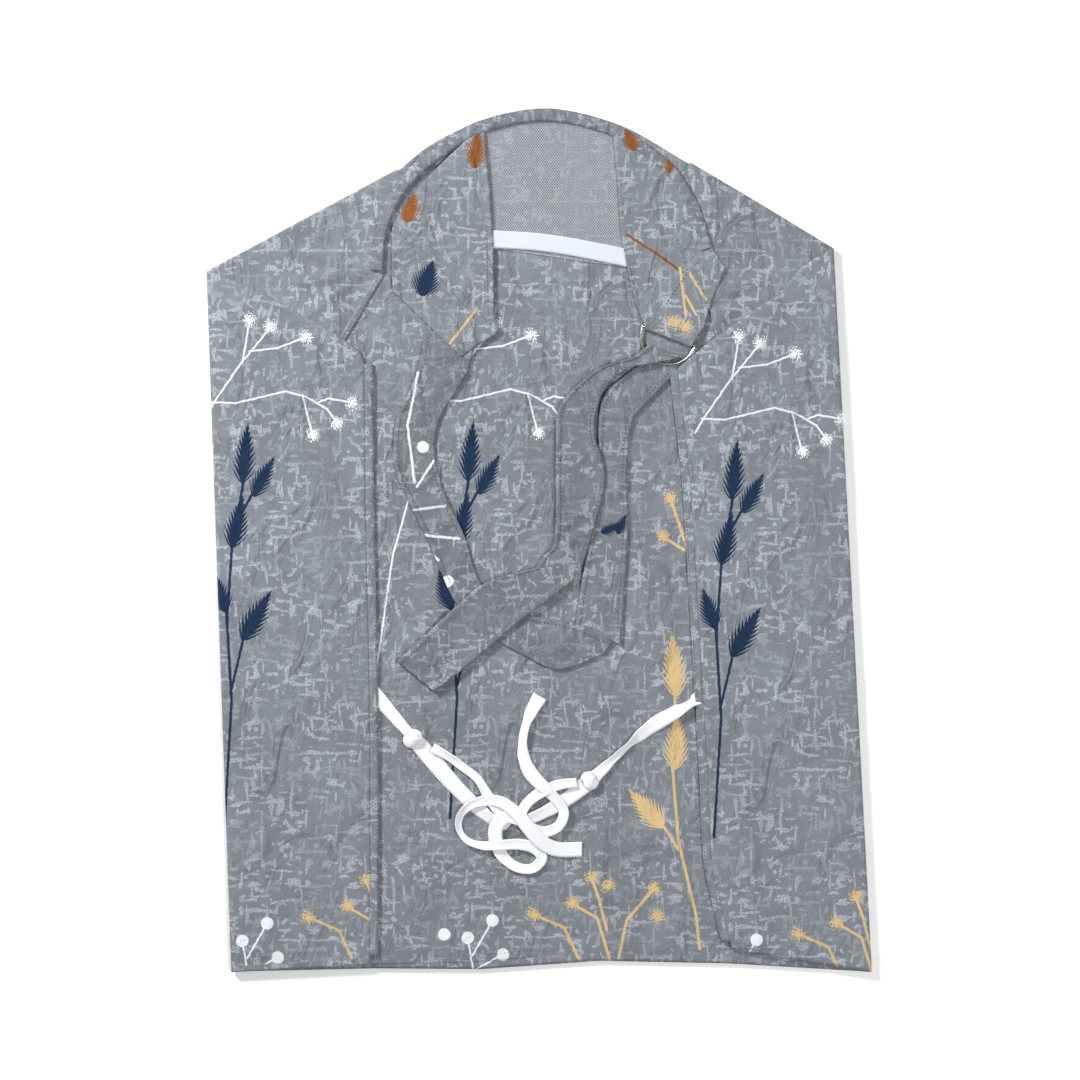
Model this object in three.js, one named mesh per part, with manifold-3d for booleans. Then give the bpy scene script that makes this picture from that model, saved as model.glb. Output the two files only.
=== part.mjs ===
// A nursing cover: a cloth apron with a boned neckline, a net window, an adjustable neck strap with a D-ring
// and twill ties at its side edges. It lies flat with its inner side up, its two side panels folded in over
// the front. Millimetres. +Y runs from the hem to the neckline, +X to the right and +Z up from the surface
// it lies on. The origin is the middle of the folded outline, on that surface.

import * as THREE from "three";
import { mergeVertices } from "three/addons/utils/BufferGeometryUtils.js";
import Module from "manifold-3d";

const wasm = await Module();
wasm.setup();

// ---- Driving dimensions ----
// Heights and places along Y are drops: distances below the top of the neckline.

const GOWN_LENGTH = 733.5; // top of the neckline to the lowest corner of the hem
const LEFT_SHOULDER_REACH = 282.5; // centre line to the top of the left fold
const RIGHT_SHOULDER_REACH = 249.5;
const LEFT_HEM_REACH = 261.5; // centre line to the bottom of the left fold
const RIGHT_HEM_REACH = 282;
const LEFT_SHOULDER_DROP = 139;
const RIGHT_SHOULDER_DROP = 119.5;

const CLOTH = 0.6; // one layer of cotton
const GAP = 0.3; // between two pieces that lie on or against each other
const HEM_WIDTH = 7;
const SHOULDER_HEM_WIDTH = 5;
const CORNER_THICKNESS = 1.0; // a folded shoulder corner, pressed flat
const CORNER_EASE = 0.2; // extra room beside the casing, round the outside of its curve

const BONING_WIDTH = 8;
const BONING_THICKNESS = 1.2;
const CASING_WALL = 0.6;
const CASING_SEAM = 1.2; // cloth beside the boning, at each edge of the casing

const NET_THICKNESS = 0.4;
const ELASTIC_WIDTH = 15;
const ELASTIC_THICKNESS = 1.0;

const TAB_THICKNESS = 1.0;
const STRAP_WIDTH = 43;
const STRAP_THICKNESS = 1.0;
const STRAP_BUNCHED_WIDTH = 30; // where the strap gathers to pass through the ring

const RING_WIRE = 2; // diameter
const RING_SIDE_PLAY = 1.25; // strap edge to ring, at each side
const LOOP_WALL = 0.6; // the cloth loop that holds the ring
const LOOP_END_PLAY = 1;
const LOOP_PLAY = 0.35; // bar to cloth

const TIE_WIDTH = 12.7;
const TIE_THICKNESS = 0.8;
const LEFT_TIE_DROP = 491;
const RIGHT_TIE_DROP = 496;
const KNOT_LENGTH = 22;
const KNOT_WIDTH = 17;
const KNOT_HEIGHT = 4.6;

// Widths of the folded-in side panels, each as [drop, width from the fold to the free edge].
const LEFT_PANEL_WIDTHS = [
  [216.5, 131.3],
  [503, 125.6],
];
const LEFT_PANEL_HEM_WIDTH = 117.7;
const RIGHT_PANEL_WIDTHS = [
  [221.5, 138],
  [316, 132.2],
  [452, 131.1],
  [554, 130.6],
  [635.5, 131],
];
const RIGHT_PANEL_HEM_WIDTH = 118.5;

// ---- Heights of the layers ----

const LINING_BASE = CLOTH + GAP;
const FIRST_LEVEL = 2 * (CLOTH + GAP); // what lies on the lining
const SECOND_LEVEL = FIRST_LEVEL + Math.max(STRAP_THICKNESS, ELASTIC_THICKNESS) + GAP;
const PANEL_BASE = FIRST_LEVEL + CORNER_THICKNESS + GAP;
const PANEL_THICKNESS = 2 * CLOTH + GAP;

// ---- Small tools ----

const point = (x, drop) => new THREE.Vector2(x, -drop);
const mix = (a, b, t) => a + (b - a) * t;

function plate(outline, base, thickness) {
  const geometry = new THREE.ExtrudeGeometry(new THREE.Shape(outline), {
    depth: thickness,
    bevelEnabled: false,
    curveSegments: 12,
  });
  return geometry.translate(0, 0, base);
}

// A path whose ribbon stays level: its width lies flat wherever the path climbs over something.
class LevelPath extends THREE.CatmullRomCurve3 {
  constructor(points) {
    super(points);
    this.arcLengthDivisions = 800;
  }
  computeFrenetFrames(segments) {
    const frames = { tangents: [], normals: [], binormals: [] };
    for (let i = 0; i <= segments; i++) {
      const tangent = this.getTangentAt(i / segments);
      const side = new THREE.Vector3(-tangent.y, tangent.x, 0).normalize();
      frames.tangents.push(tangent);
      frames.binormals.push(side);
      frames.normals.push(new THREE.Vector3().crossVectors(side, tangent));
    }
    return frames;
  }
}

function rectangle(height, width) {
  return [
    new THREE.Vector2(-height / 2, -width / 2),
    new THREE.Vector2(height / 2, -width / 2),
    new THREE.Vector2(height / 2, width / 2),
    new THREE.Vector2(-height / 2, width / 2),
  ];
}

// A flat ribbon along a route of [x, drop, height of its middle].
function ribbon(route, width, thickness, steps) {
  const path = new LevelPath(route.map(([x, drop, z]) => new THREE.Vector3(x, -drop, z)));
  const section = new THREE.Shape(rectangle(thickness, width));
  return new THREE.ExtrudeGeometry(section, { steps, extrudePath: path, bevelEnabled: false });
}

// Points along a flat curve, moved sideways by offset: to the left of its direction if positive.
function beside(curve, offset, from, to, count) {
  const points = [];
  for (let i = 0; i <= count; i++) {
    const u = mix(from, to, i / count);
    const along = curve.getTangentAt(u);
    points.push(curve.getPointAt(u).add(new THREE.Vector2(-along.y, along.x).multiplyScalar(offset)));
  }
  return points;
}

function solid(geometry) {
  const bare = geometry.index ? geometry.clone() : geometry;
  bare.deleteAttribute("normal");
  bare.deleteAttribute("uv");
  const merged = mergeVertices(bare, 1e-4);
  const mesh = new wasm.Mesh({
    numProp: 3,
    vertProperties: merged.attributes.position.array,
    triVerts: new Uint32Array(merged.index.array),
  });
  return new wasm.Manifold(mesh);
}

function joined(geometries) {
  const whole = geometries.map(solid).reduce((sum, next) => sum.add(next));
  const mesh = whole.getMesh();
  return new THREE.BufferGeometry()
    .setAttribute("position", new THREE.BufferAttribute(mesh.vertProperties, 3))
    .setIndex(new THREE.BufferAttribute(mesh.triVerts, 1));
}

// ---- Materials ----

const cotton = () => new THREE.MeshStandardMaterial({ color: 0x8a8f98, roughness: 0.85, metalness: 0 });
const net = () => new THREE.MeshStandardMaterial({ color: 0x8f959c, roughness: 0.8, metalness: 0 });
const white = () => new THREE.MeshStandardMaterial({ color: 0xf2f4f8, roughness: 0.75, metalness: 0 });
const nylon = () => new THREE.MeshStandardMaterial({ color: 0xe6e6e2, roughness: 0.5, metalness: 0 });
const nickel = () => new THREE.MeshStandardMaterial({ color: 0xc9c7c2, roughness: 0.25, metalness: 1 });

const gown = new THREE.Group();
gown.position.y = GOWN_LENGTH / 2;

function add(name, geometry, material) {
  const mesh = new THREE.Mesh(geometry, material);
  mesh.name = name;
  gown.add(mesh);
}

// ---- Outline of the folded gown ----

const leftFoldX = (drop) =>
  -mix(
    LEFT_SHOULDER_REACH,
    LEFT_HEM_REACH,
    (drop - LEFT_SHOULDER_DROP) / (GOWN_LENGTH - LEFT_SHOULDER_DROP),
  );
const rightFoldX = (drop) =>
  mix(
    RIGHT_SHOULDER_REACH,
    RIGHT_HEM_REACH,
    (drop - RIGHT_SHOULDER_DROP) / (GOWN_LENGTH - RIGHT_SHOULDER_DROP),
  );

// The hem rises a little towards the middle and the right, as [x, rise above the lowest corner].
const HEM_RISES = [
  [-LEFT_HEM_REACH, 0],
  [-144, 6],
  [-50.5, 8],
  [51.5, 18],
  [163.5, 19],
  [RIGHT_HEM_REACH, 15.5],
];
function hemDrop(x) {
  const last = HEM_RISES.length - 1;
  let i = 1;
  while (i < last && x > HEM_RISES[i][0]) i++;
  const [x0, rise0] = HEM_RISES[i - 1];
  const [x1, rise1] = HEM_RISES[i];
  return GOWN_LENGTH - mix(rise0, rise1, (x - x0) / (x1 - x0));
}

// Hem points from one x to another, raised by a height above the edge.
function hemLine(from, to, raise) {
  const inner = HEM_RISES.map(([x]) => x).filter((x) => x > from + 1 && x < to - 1);
  return [from, ...inner, to].map((x) => point(x, hemDrop(x) - raise));
}

const leftShoulder = point(-LEFT_SHOULDER_REACH, LEFT_SHOULDER_DROP);
const rightShoulder = point(RIGHT_SHOULDER_REACH, RIGHT_SHOULDER_DROP);
const leftSlopeTop = point(-121, 52.5);
const rightSlopeTop = point(128, 46.5);
const neckTop = new THREE.SplineCurve([
  leftSlopeTop,
  point(-93, 31),
  point(-50.5, 11.5),
  point(4.5, 0.2),
  point(68.5, 14),
  rightSlopeTop,
]);

// ---- Front panel: outer cloth and lining ----

const panelRaise = HEM_WIDTH + GAP;
const frontLeftX = leftFoldX(hemDrop(-LEFT_HEM_REACH) - panelRaise);
const frontRightX = rightFoldX(hemDrop(RIGHT_HEM_REACH) - panelRaise);
const frontOutline = [
  ...hemLine(frontLeftX, frontRightX, panelRaise),
  rightShoulder,
  point(185.5, 80.5),
  ...neckTop.getSpacedPoints(24).reverse(),
  leftShoulder,
];
add("front_panel_outer", plate(frontOutline, 0, CLOTH), cotton());
add("front_panel_lining", plate(frontOutline, LINING_BASE, CLOTH), cotton());
// The right fold leans out, so the hem ends where the fold passes its upper edge.
const hemRightX = rightFoldX(hemDrop(RIGHT_HEM_REACH) - HEM_WIDTH);
add(
  "bottom_hem",
  plate(
    [
      ...hemLine(-LEFT_HEM_REACH, hemRightX, 0),
      ...hemLine(-LEFT_HEM_REACH, hemRightX, HEM_WIDTH).reverse(),
    ],
    0,
    PANEL_THICKNESS,
  ),
  cotton(),
);

// ---- Neckline: the casing, a tunnel of cloth, and the boning that it holds ----

const casingWidth = BONING_WIDTH + 2 * (GAP + CASING_SEAM);
const casingHeight = BONING_THICKNESS + 2 * (GAP + CASING_WALL);
const neckline = new THREE.SplineCurve([
  point(-138, 138.5),
  point(-135.5, 108),
  point(-127, 83),
  point(-109, 57.5),
  point(-80, 34),
  point(-48, 16),
  point(4.5, 6.2),
  point(56, 16.5),
  point(89.5, 36),
  point(114.5, 58),
  point(131.5, 88),
  point(141.5, 120.5),
]);
neckline.arcLengthDivisions = 800;

function alongNeckline(sections, from, to, steps) {
  const middle = FIRST_LEVEL + casingHeight / 2;
  const points = beside(neckline, 0, from, to, 40).map((p) => new THREE.Vector3(p.x, p.y, middle));
  const extrudePath = new LevelPath(points);
  return new THREE.ExtrudeGeometry(sections, { steps, extrudePath, bevelEnabled: false });
}

const casingSection = new THREE.Shape(rectangle(casingHeight, casingWidth));
const tunnel = rectangle(BONING_THICKNESS + 2 * GAP, BONING_WIDTH + 2 * GAP).reverse();
casingSection.holes.push(new THREE.Path(tunnel));
add("neckline_casing", alongNeckline(casingSection, 0, 1, 64), cotton());
const boningInset = 0.01; // share of the neckline that the boning stops short of each end
add(
  "neckline_boning",
  alongNeckline(new THREE.Shape(rectangle(BONING_THICKNESS, BONING_WIDTH)), boningInset, 1 - boningInset, 56),
  nylon(),
);
const clearOfCasing = casingWidth / 2 + GAP;

// A point just past one end of the casing, to one side of its middle line.
function pastCasing(end, offset) {
  const along = neckline.getTangentAt(end);
  const side = new THREE.Vector2(-along.y, along.x).multiplyScalar(offset);
  const past = along.multiplyScalar((end ? 1 : -1) * 2 * GAP);
  return neckline.getPointAt(end).add(side).add(past);
}

// ---- Folded-down shoulder corners, each with the hem of its free edge ----

const LEFT_HEM_TOP = point(-133, 141.5);
const LEFT_HEM_FOOT = point(-166, 198.5);
const RIGHT_HEM_TOP = point(137, 141);
const RIGHT_HEM_FOOT = point(150, 196);

// A strip of a given width on one side of a straight line: to its left if the width is positive.
function strip(from, to, width, start = 0) {
  const along = to.clone().sub(from).normalize();
  const side = new THREE.Vector2(-along.y, along.x);
  const place = (p, offset) => p.clone().add(side.clone().multiplyScalar(offset));
  return [place(from, start), place(to, start), place(to, start + width), place(from, start + width)];
}

const leftHemStrip = strip(LEFT_HEM_TOP, LEFT_HEM_FOOT, -SHOULDER_HEM_WIDTH);
const leftHemInner = strip(LEFT_HEM_TOP, LEFT_HEM_FOOT, -1, -SHOULDER_HEM_WIDTH - GAP);
add(
  "left_shoulder_corner",
  plate(
    [
      leftShoulder,
      point(-278, 200),
      point(-205, 262),
      leftHemInner[1],
      leftHemInner[0],
      pastCasing(0, casingWidth / 4),
      pastCasing(0, clearOfCasing),
      ...beside(neckline, clearOfCasing + CORNER_EASE, 0.01, 0.28, 14),
      leftSlopeTop,
    ],
    FIRST_LEVEL,
    CORNER_THICKNESS,
  ),
  cotton(),
);
add("left_shoulder_hem", plate(leftHemStrip, FIRST_LEVEL, CORNER_THICKNESS), cotton());

const rightHemStrip = strip(RIGHT_HEM_TOP, RIGHT_HEM_FOOT, SHOULDER_HEM_WIDTH);
const rightHemInner = strip(RIGHT_HEM_TOP, RIGHT_HEM_FOOT, 1, SHOULDER_HEM_WIDTH + GAP);
add(
  "right_shoulder_corner",
  plate(
    [
      rightShoulder,
      point(185.5, 80.5),
      rightSlopeTop,
      ...beside(neckline, clearOfCasing + CORNER_EASE, 0.76, 0.99, 12),
      pastCasing(1, clearOfCasing),
      rightHemInner[0],
      rightHemInner[1],
      point(190, 250),
      point(252, 190),
    ],
    FIRST_LEVEL,
    CORNER_THICKNESS,
  ),
  cotton(),
);
add("right_shoulder_hem", plate(rightHemStrip, FIRST_LEVEL, CORNER_THICKNESS), cotton());

// ---- Side panels: they turn about the folds, so each keeps clear of its fold line ----

const leftEdge = [...LEFT_PANEL_WIDTHS, [hemDrop(-144), LEFT_PANEL_HEM_WIDTH]].map(([drop, width]) =>
  point(leftFoldX(drop) + width, drop),
);
const rightEdge = [...RIGHT_PANEL_WIDTHS, [hemDrop(163.5), RIGHT_PANEL_HEM_WIDTH]].map(([drop, width]) =>
  point(rightFoldX(drop) - width, drop),
);
const shifted = (points, dx) => points.map((p) => new THREE.Vector2(p.x + dx, p.y));

// Where a free edge passes a given drop.
const edgeAt = (edge, drop) => {
  const i = Math.max(1, edge.findIndex((p) => -p.y >= drop));
  return mix(edge[i - 1].x, edge[i].x, (drop + edge[i - 1].y) / (edge[i - 1].y - edge[i].y));
};

// The top edge starts at the shoulder and follows the crease that the shoulder's own fold left in the panel.
function sidePanel(side, inward, fold, shoulderDrop, topEdge, edge) {
  const foldX = (drop) => fold(drop) + inward * GAP;
  // The bottom hem stays inside the fold line and the side hem, at its lower and its upper edge.
  const rise = HEM_WIDTH + GAP;
  const footDrop = -edge[edge.length - 1].y;
  const footXs = [footDrop, footDrop - rise].map((drop) => inward * edgeAt(edge, drop));
  const edgeX = inward * (Math.min(...footXs) - rise);
  const cornerDrop = hemDrop(fold(GOWN_LENGTH));
  const cornerX = inward * Math.max(...[cornerDrop, cornerDrop - rise].map((drop) => inward * foldX(drop)));
  const [low, high] = [cornerX, edgeX].sort((a, b) => a - b);
  const bottom = (raise) => {
    const line = hemLine(low, high, raise);
    return inward > 0 ? line.reverse() : line;
  };
  const cloth = [
    point(foldX(shoulderDrop + GAP), shoulderDrop + GAP),
    ...topEdge,
    ...shifted(edge.slice(0, -1), -inward * rise),
    ...bottom(rise),
  ];
  add(side + "_side_panel_lining", plate(cloth, PANEL_BASE, CLOTH), cotton());
  add(side + "_side_panel_outer", plate(cloth, PANEL_BASE + CLOTH + GAP, CLOTH), cotton());
  const edgeHem = [...edge, ...shifted(edge, -inward * HEM_WIDTH).reverse()];
  add(side + "_side_hem", plate(edgeHem, PANEL_BASE, PANEL_THICKNESS), cotton());
  const bottomHem = [...bottom(0), ...bottom(HEM_WIDTH).reverse()];
  add(side + "_side_bottom_hem", plate(bottomHem, PANEL_BASE, PANEL_THICKNESS), cotton());
}

// A point of a top edge, set off from the shoulder or from the top of the free edge.
const offFrom = (corner, x, drop) => corner.clone().add(point(x, drop));
const leftTopEdge = [offFrom(leftEdge[0], -12.5, -16)];
const rightTopEdge = [
  offFrom(rightShoulder, -26.5, 17),
  offFrom(rightShoulder, -49.5, 40),
  offFrom(rightEdge[0], 31.6, -25.5),
  offFrom(rightEdge[0], 12.6, -10.5),
];
sidePanel("left", 1, leftFoldX, LEFT_SHOULDER_DROP, leftTopEdge, leftEdge);
sidePanel("right", -1, rightFoldX, RIGHT_SHOULDER_DROP, rightTopEdge, rightEdge);

// ---- Net window and the elastic band along its lower edge ----

const elasticLine = new THREE.SplineCurve([point(-48, 111), point(10.5, 115.5), point(82, 129)]);
add(
  "net_window",
  plate(
    [
      ...beside(neckline, -clearOfCasing, 0.41, 0.69, 16),
      ...beside(elasticLine, ELASTIC_WIDTH / 2 + GAP, 1, 0, 8),
    ],
    FIRST_LEVEL,
    NET_THICKNESS,
  ),
  net(),
);
add(
  "net_elastic_band",
  plate(
    [
      ...beside(elasticLine, ELASTIC_WIDTH / 2, 0, 1, 8),
      ...beside(elasticLine, -ELASTIC_WIDTH / 2, 1, 0, 8),
    ],
    FIRST_LEVEL,
    ELASTIC_THICKNESS,
  ),
  white(),
);

// ---- Left strap tab: a doubled wedge of cloth, sewn into the casing's inner edge ----

add(
  "left_strap_tab",
  plate(
    [
      ...beside(neckline, -clearOfCasing, 0.085, 0.405, 18),
      point(-38.5, 123),
      point(-38.5, 176.5),
      point(-33, 189.5),
      point(-67, 211.5),
      point(-124.5, 155.5),
    ],
    SECOND_LEVEL,
    TAB_THICKNESS,
  ),
  cotton(),
);

// ---- Ring tab, the D-ring and the strap where it passes through the ring ----

const BAR_END = point(131.73, 202.37); // the ring's right end, which stays clear of the side panel
const BAR_SLOPE = 0.36; // radians that the bar turns below the horizontal
const barAlong = new THREE.Vector2(Math.cos(BAR_SLOPE), -Math.sin(BAR_SLOPE));
const barOut = new THREE.Vector2(-Math.sin(BAR_SLOPE), -Math.cos(BAR_SLOPE));
const ringReach = STRAP_WIDTH / 2 + RING_SIDE_PLAY + RING_WIRE / 2;
const barCentre = BAR_END.clone().sub(barAlong.clone().multiplyScalar(ringReach));
const ringHeight = SECOND_LEVEL + RING_WIRE / 2;
const loopLength = 2 * (ringReach - RING_WIRE / 2 - LOOP_END_PLAY);
const loopInner = RING_WIRE / 2 + LOOP_PLAY;
const loopOuter = loopInner + LOOP_WALL;

// A point at a distance along the bar from its middle, and a distance out from the bar, away from the tab.
const ringPoint = (across, out) =>
  barCentre.clone().add(barAlong.clone().multiplyScalar(across)).add(barOut.clone().multiplyScalar(out));

// Turns a shape built along +Y onto the bar.
function ontoBar(geometry) {
  geometry.rotateZ(-Math.PI / 2 - BAR_SLOPE);
  return geometry.translate(barCentre.x, barCentre.y, ringHeight);
}

const tabSeat = (loopInner + loopOuter) / 2;
const ringTabPlate = plate(
  [
    ringPoint(-loopLength / 2, -tabSeat),
    ringPoint(loopLength / 2, -tabSeat),
    point(139, 187),
    point(146, 164),
    point(157.5, 136.5),
    point(149, 125),
    pastCasing(1, casingWidth / 2),
    pastCasing(1, -clearOfCasing),
    ...beside(neckline, -clearOfCasing, 0.99, 0.695, 20),
    point(69, 103.5),
    point(74.5, 135),
  ],
  SECOND_LEVEL,
  TAB_THICKNESS,
);
const loopProfile = [
  [loopInner, -loopLength / 2],
  [loopOuter, -loopLength / 2],
  [loopOuter, loopLength / 2],
  [loopInner, loopLength / 2],
  [loopInner, -loopLength / 2],
].map(([r, y]) => new THREE.Vector2(r, y));
const loopTube = ontoBar(new THREE.LatheGeometry(loopProfile, 20));
add("ring_tab", joined([ringTabPlate, loopTube]), cotton());

const bowSteps = 12;
const bowPoints = [];
for (let i = 0; i <= bowSteps; i++) {
  const angle = (Math.PI * i) / bowSteps;
  const p = ringPoint(ringReach * Math.cos(angle), ringReach * Math.sin(angle));
  bowPoints.push(new THREE.Vector3(p.x, p.y, ringHeight));
}
const wireSection = new THREE.Shape().absarc(0, 0, RING_WIRE / 2, 0, 2 * Math.PI, false);
const bow = new THREE.ExtrudeGeometry(wireSection, {
  steps: 36,
  curveSegments: 6,
  extrudePath: new THREE.CatmullRomCurve3(bowPoints),
  bevelEnabled: false,
});
const bar = ontoBar(new THREE.CylinderGeometry(RING_WIRE / 2, RING_WIRE / 2, 2 * ringReach, 12));
const corners = [-ringReach, ringReach].map((across) => {
  const p = ringPoint(across, 0);
  return new THREE.SphereGeometry(RING_WIRE / 2, 12, 8).translate(p.x, p.y, ringHeight);
});
add("d_ring", joined([bow, bar, ...corners]), nickel());

// The strap comes up through the ring and folds back over its bow: a U-shaped fold, open away from the tab.
const FOLD_OUT = 14.5; // from the bar to the middle of the fold's bend
const FOLD_END = 26.5; // from the bar to the end of its two legs
const foldInner = ringHeight - FIRST_LEVEL - STRAP_THICKNESS;
const foldOuter = foldInner + STRAP_THICKNESS;
const foldShape = new THREE.Shape();
foldShape.moveTo(FOLD_END, -foldOuter);
foldShape.lineTo(FOLD_OUT, -foldOuter);
foldShape.absarc(FOLD_OUT, 0, foldOuter, -Math.PI / 2, Math.PI / 2, true);
foldShape.lineTo(FOLD_END, foldOuter);
foldShape.lineTo(FOLD_END, foldInner);
foldShape.lineTo(FOLD_OUT, foldInner);
foldShape.absarc(FOLD_OUT, 0, foldInner, Math.PI / 2, (3 * Math.PI) / 2, false);
foldShape.lineTo(FOLD_END, -foldInner);
const fold = new THREE.ExtrudeGeometry(foldShape, {
  depth: STRAP_BUNCHED_WIDTH,
  curveSegments: 8,
  bevelEnabled: false,
});
const foldStart = ringPoint(STRAP_BUNCHED_WIDTH / 2, 0);
fold.applyMatrix4(
  new THREE.Matrix4().makeBasis(
    new THREE.Vector3(barOut.x, barOut.y, 0),
    new THREE.Vector3(0, 0, 1),
    new THREE.Vector3(-barAlong.x, -barAlong.y, 0),
  ),
);
fold.translate(foldStart.x, foldStart.y, ringHeight);
add("neck_strap_ring_fold", fold, cotton());

// ---- Neck strap: one sewn double strap, here as the runs between its turns and folds ----

const firstStrap = FIRST_LEVEL + STRAP_THICKNESS / 2;
const secondStrap = SECOND_LEVEL + STRAP_THICKNESS / 2;
const flatRoute = (height, points) => points.map(([x, drop]) => [x, drop, height]);

// From under the left tab, down the left side and round to the right.
const leftRun = flatRoute(firstStrap, [
  [-58, 189],
  [-79.5, 212],
  [-97, 236],
  [-105, 264],
  [-101.5, 297],
  [-93, 332],
  [-78, 371],
  [-63, 404],
  [-44, 430],
  [-14, 448],
  [20, 457],
  [57, 460],
]);
add("neck_strap_left_run", ribbon(leftRun, STRAP_WIDTH, STRAP_THICKNESS, 60), cotton());

// From the corner fold at the right end of that run, up to the ring's underside.
const riseEnd = ringPoint(0, FOLD_END + GAP);
const riseLead = ringPoint(0, FOLD_END + GAP + 12);
const riseStart = 460 - STRAP_WIDTH / 2 - GAP - 1;
const riseRun = flatRoute(firstStrap, [
  [52, riseStart],
  [54, 405],
  [58, 372],
  [62, 337],
  [63.5, 300],
  [68, 270],
  [80, 248],
  [riseLead.x, -riseLead.y],
  [riseEnd.x, -riseEnd.y],
]);
add("neck_strap_rise_run", ribbon(riseRun, STRAP_WIDTH, STRAP_THICKNESS, 40), cotton());

// From the top of the ring fold, down over the rise run to the crease where the free end turns away.
const CREASE = [17, 382];
const CREASE_HEADING = [-0.358, 0.934];
const ringRunShift = -6; // the gathered strap spreads to one side, clear of the side panel
const ringRunStart = ringPoint(ringRunShift, FOLD_END + GAP);
const ringRunLead = ringPoint(ringRunShift, FOLD_END + GAP + 10);
const foldTop = ringHeight + foldOuter - STRAP_THICKNESS / 2;
const ringRun = [
  [ringRunStart.x, -ringRunStart.y, foldTop],
  [ringRunLead.x, -ringRunLead.y, foldTop - 0.2],
  [76, 243, mix(foldTop, secondStrap, 0.4)],
  [56, 253, mix(foldTop, secondStrap, 0.8)],
  [41, 269, secondStrap],
  [34, 292, secondStrap],
  [33, 322, secondStrap],
  [CREASE[0] - CREASE_HEADING[0] * 26, CREASE[1] - CREASE_HEADING[1] * 26, secondStrap],
  [CREASE[0], CREASE[1], secondStrap],
];
add("neck_strap_ring_run", ribbon(ringRun, STRAP_WIDTH, STRAP_THICKNESS, 50), cotton());

const tail = flatRoute(secondStrap, [
  [CREASE[0] + CREASE_HEADING[0] * GAP, CREASE[1] + CREASE_HEADING[1] * GAP],
  [CREASE[0] + CREASE_HEADING[0] * 14, CREASE[1] + CREASE_HEADING[1] * 14],
  [-10, 424],
  [-59, 456.5],
  [-105, 483.5],
]);
add("neck_strap_tail", ribbon(tail, STRAP_WIDTH, STRAP_THICKNESS, 32), cotton());

// ---- Waist ties: white twill tape. Each sewn tie runs to a knot, out into a long loop and back. ----

const tieLevel = (n) => FIRST_LEVEL + TIE_THICKNESS / 2 + n * (TIE_THICKNESS + GAP);
const leftTieX = edgeAt(leftEdge, LEFT_TIE_DROP);
const rightTieX = edgeAt(rightEdge, RIGHT_TIE_DROP);

const leftTie = flatRoute(tieLevel(0), [
  [leftTieX + 5.5, LEFT_TIE_DROP + 6.5],
  [-125, 514],
  [-109, 532.5],
  [-95, 549],
  [-77, 570],
  [-59, 588.5],
  [-43, 602],
  [-33, 610],
]);
add("left_waist_tie", ribbon(leftTie, TIE_WIDTH, TIE_THICKNESS, 40), white());
const leftReturn = flatRoute(tieLevel(1), [
  [-33, 604],
  [-43, 585],
  [-52, 570],
  [-65, 559.5],
  [-77, 551],
  [-91, 543],
]);
add("left_waist_tie_return", ribbon(leftReturn, TIE_WIDTH, TIE_THICKNESS, 28), white());

const rightTie = flatRoute(tieLevel(0), [
  [rightTieX - 3.9, RIGHT_TIE_DROP + 3.5],
  [115, 511],
  [97.5, 523.5],
  [81, 537.5],
  [66.5, 550.5],
  [52, 563],
  [41, 573],
  [27, 584],
  [10, 595],
  [-4, 602],
  [-14, 606],
]);
add("right_waist_tie", ribbon(rightTie, TIE_WIDTH, TIE_THICKNESS, 44), white());
const rightReturn = flatRoute(tieLevel(1), [
  [-15, 600],
  [-9, 588.5],
  [3, 580],
  [17, 574.5],
  [31.5, 572.5],
]);
add("right_waist_tie_return", ribbon(rightReturn, TIE_WIDTH, TIE_THICKNESS, 22), white());

// A knot lies on its tie as a flattened lump, turned along it.
function knot(name, x, drop, heading) {
  const lump = new THREE.SphereGeometry(0.5, 20, 12);
  lump.scale(KNOT_LENGTH, KNOT_WIDTH, KNOT_HEIGHT);
  lump.rotateZ(heading);
  lump.translate(x, -drop, FIRST_LEVEL + TIE_THICKNESS + GAP + KNOT_HEIGHT / 2);
  add(name, lump, white());
}
knot("left_tie_knot", -107.5, 534.5, -0.88);
knot("right_tie_knot", 42.5, 572, 0.72);

// A third length of tape, tied in a bow through the two loops. Its crossings pass over each other.
const bowTie = [
  [0.4, 499.6, 0],
  [-9, 516.6, 0],
  [-14, 534, 0],
  [-13.6, 549.8, 0.2],
  [-8, 564, 1.3],
  [3.8, 577, 2],
  [14.5, 587.5, 2],
  [20.5, 598, 1.6],
  [16, 609.5, 1.2],
  [4, 614.5, 1.4],
  [-8, 610.5, 2],
  [-19, 604, 2],
  [-29.5, 602.5, 2],
  [-37, 611, 1.9],
  [-36.5, 624, 1.2],
  [-30.5, 636, 0.4],
  [-19, 644.5, 0],
  [-6, 645.5, 0],
  [2, 637, 0.2],
  [-4.5, 628.5, 0.9],
  [-17, 625, 1.8],
  [-33, 625.5, 2.4],
  [-48, 626, 1.4],
  [-61, 622, 0.5],
  [-68, 612.5, 0.2],
  [-67.5, 601.5, 0.8],
  [-60, 593, 1.8],
  [-49, 588.5, 2.2],
  [-37.5, 588, 2.2],
  [-27.5, 592, 2.6],
  [-17, 601.5, 3.2],
  [-8, 612.5, 3.2],
  [3, 624, 2.2],
  [16, 629.5, 0.8],
  [36, 629.5, 0],
].map(([x, drop, level]) => [x, drop, tieLevel(level)]);
add("joining_tie", ribbon(bowTie, TIE_WIDTH, TIE_THICKNESS, 180), white());

export default gown;
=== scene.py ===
import math

import bmesh
import bpy
from mathutils import Matrix, Vector, noise


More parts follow.
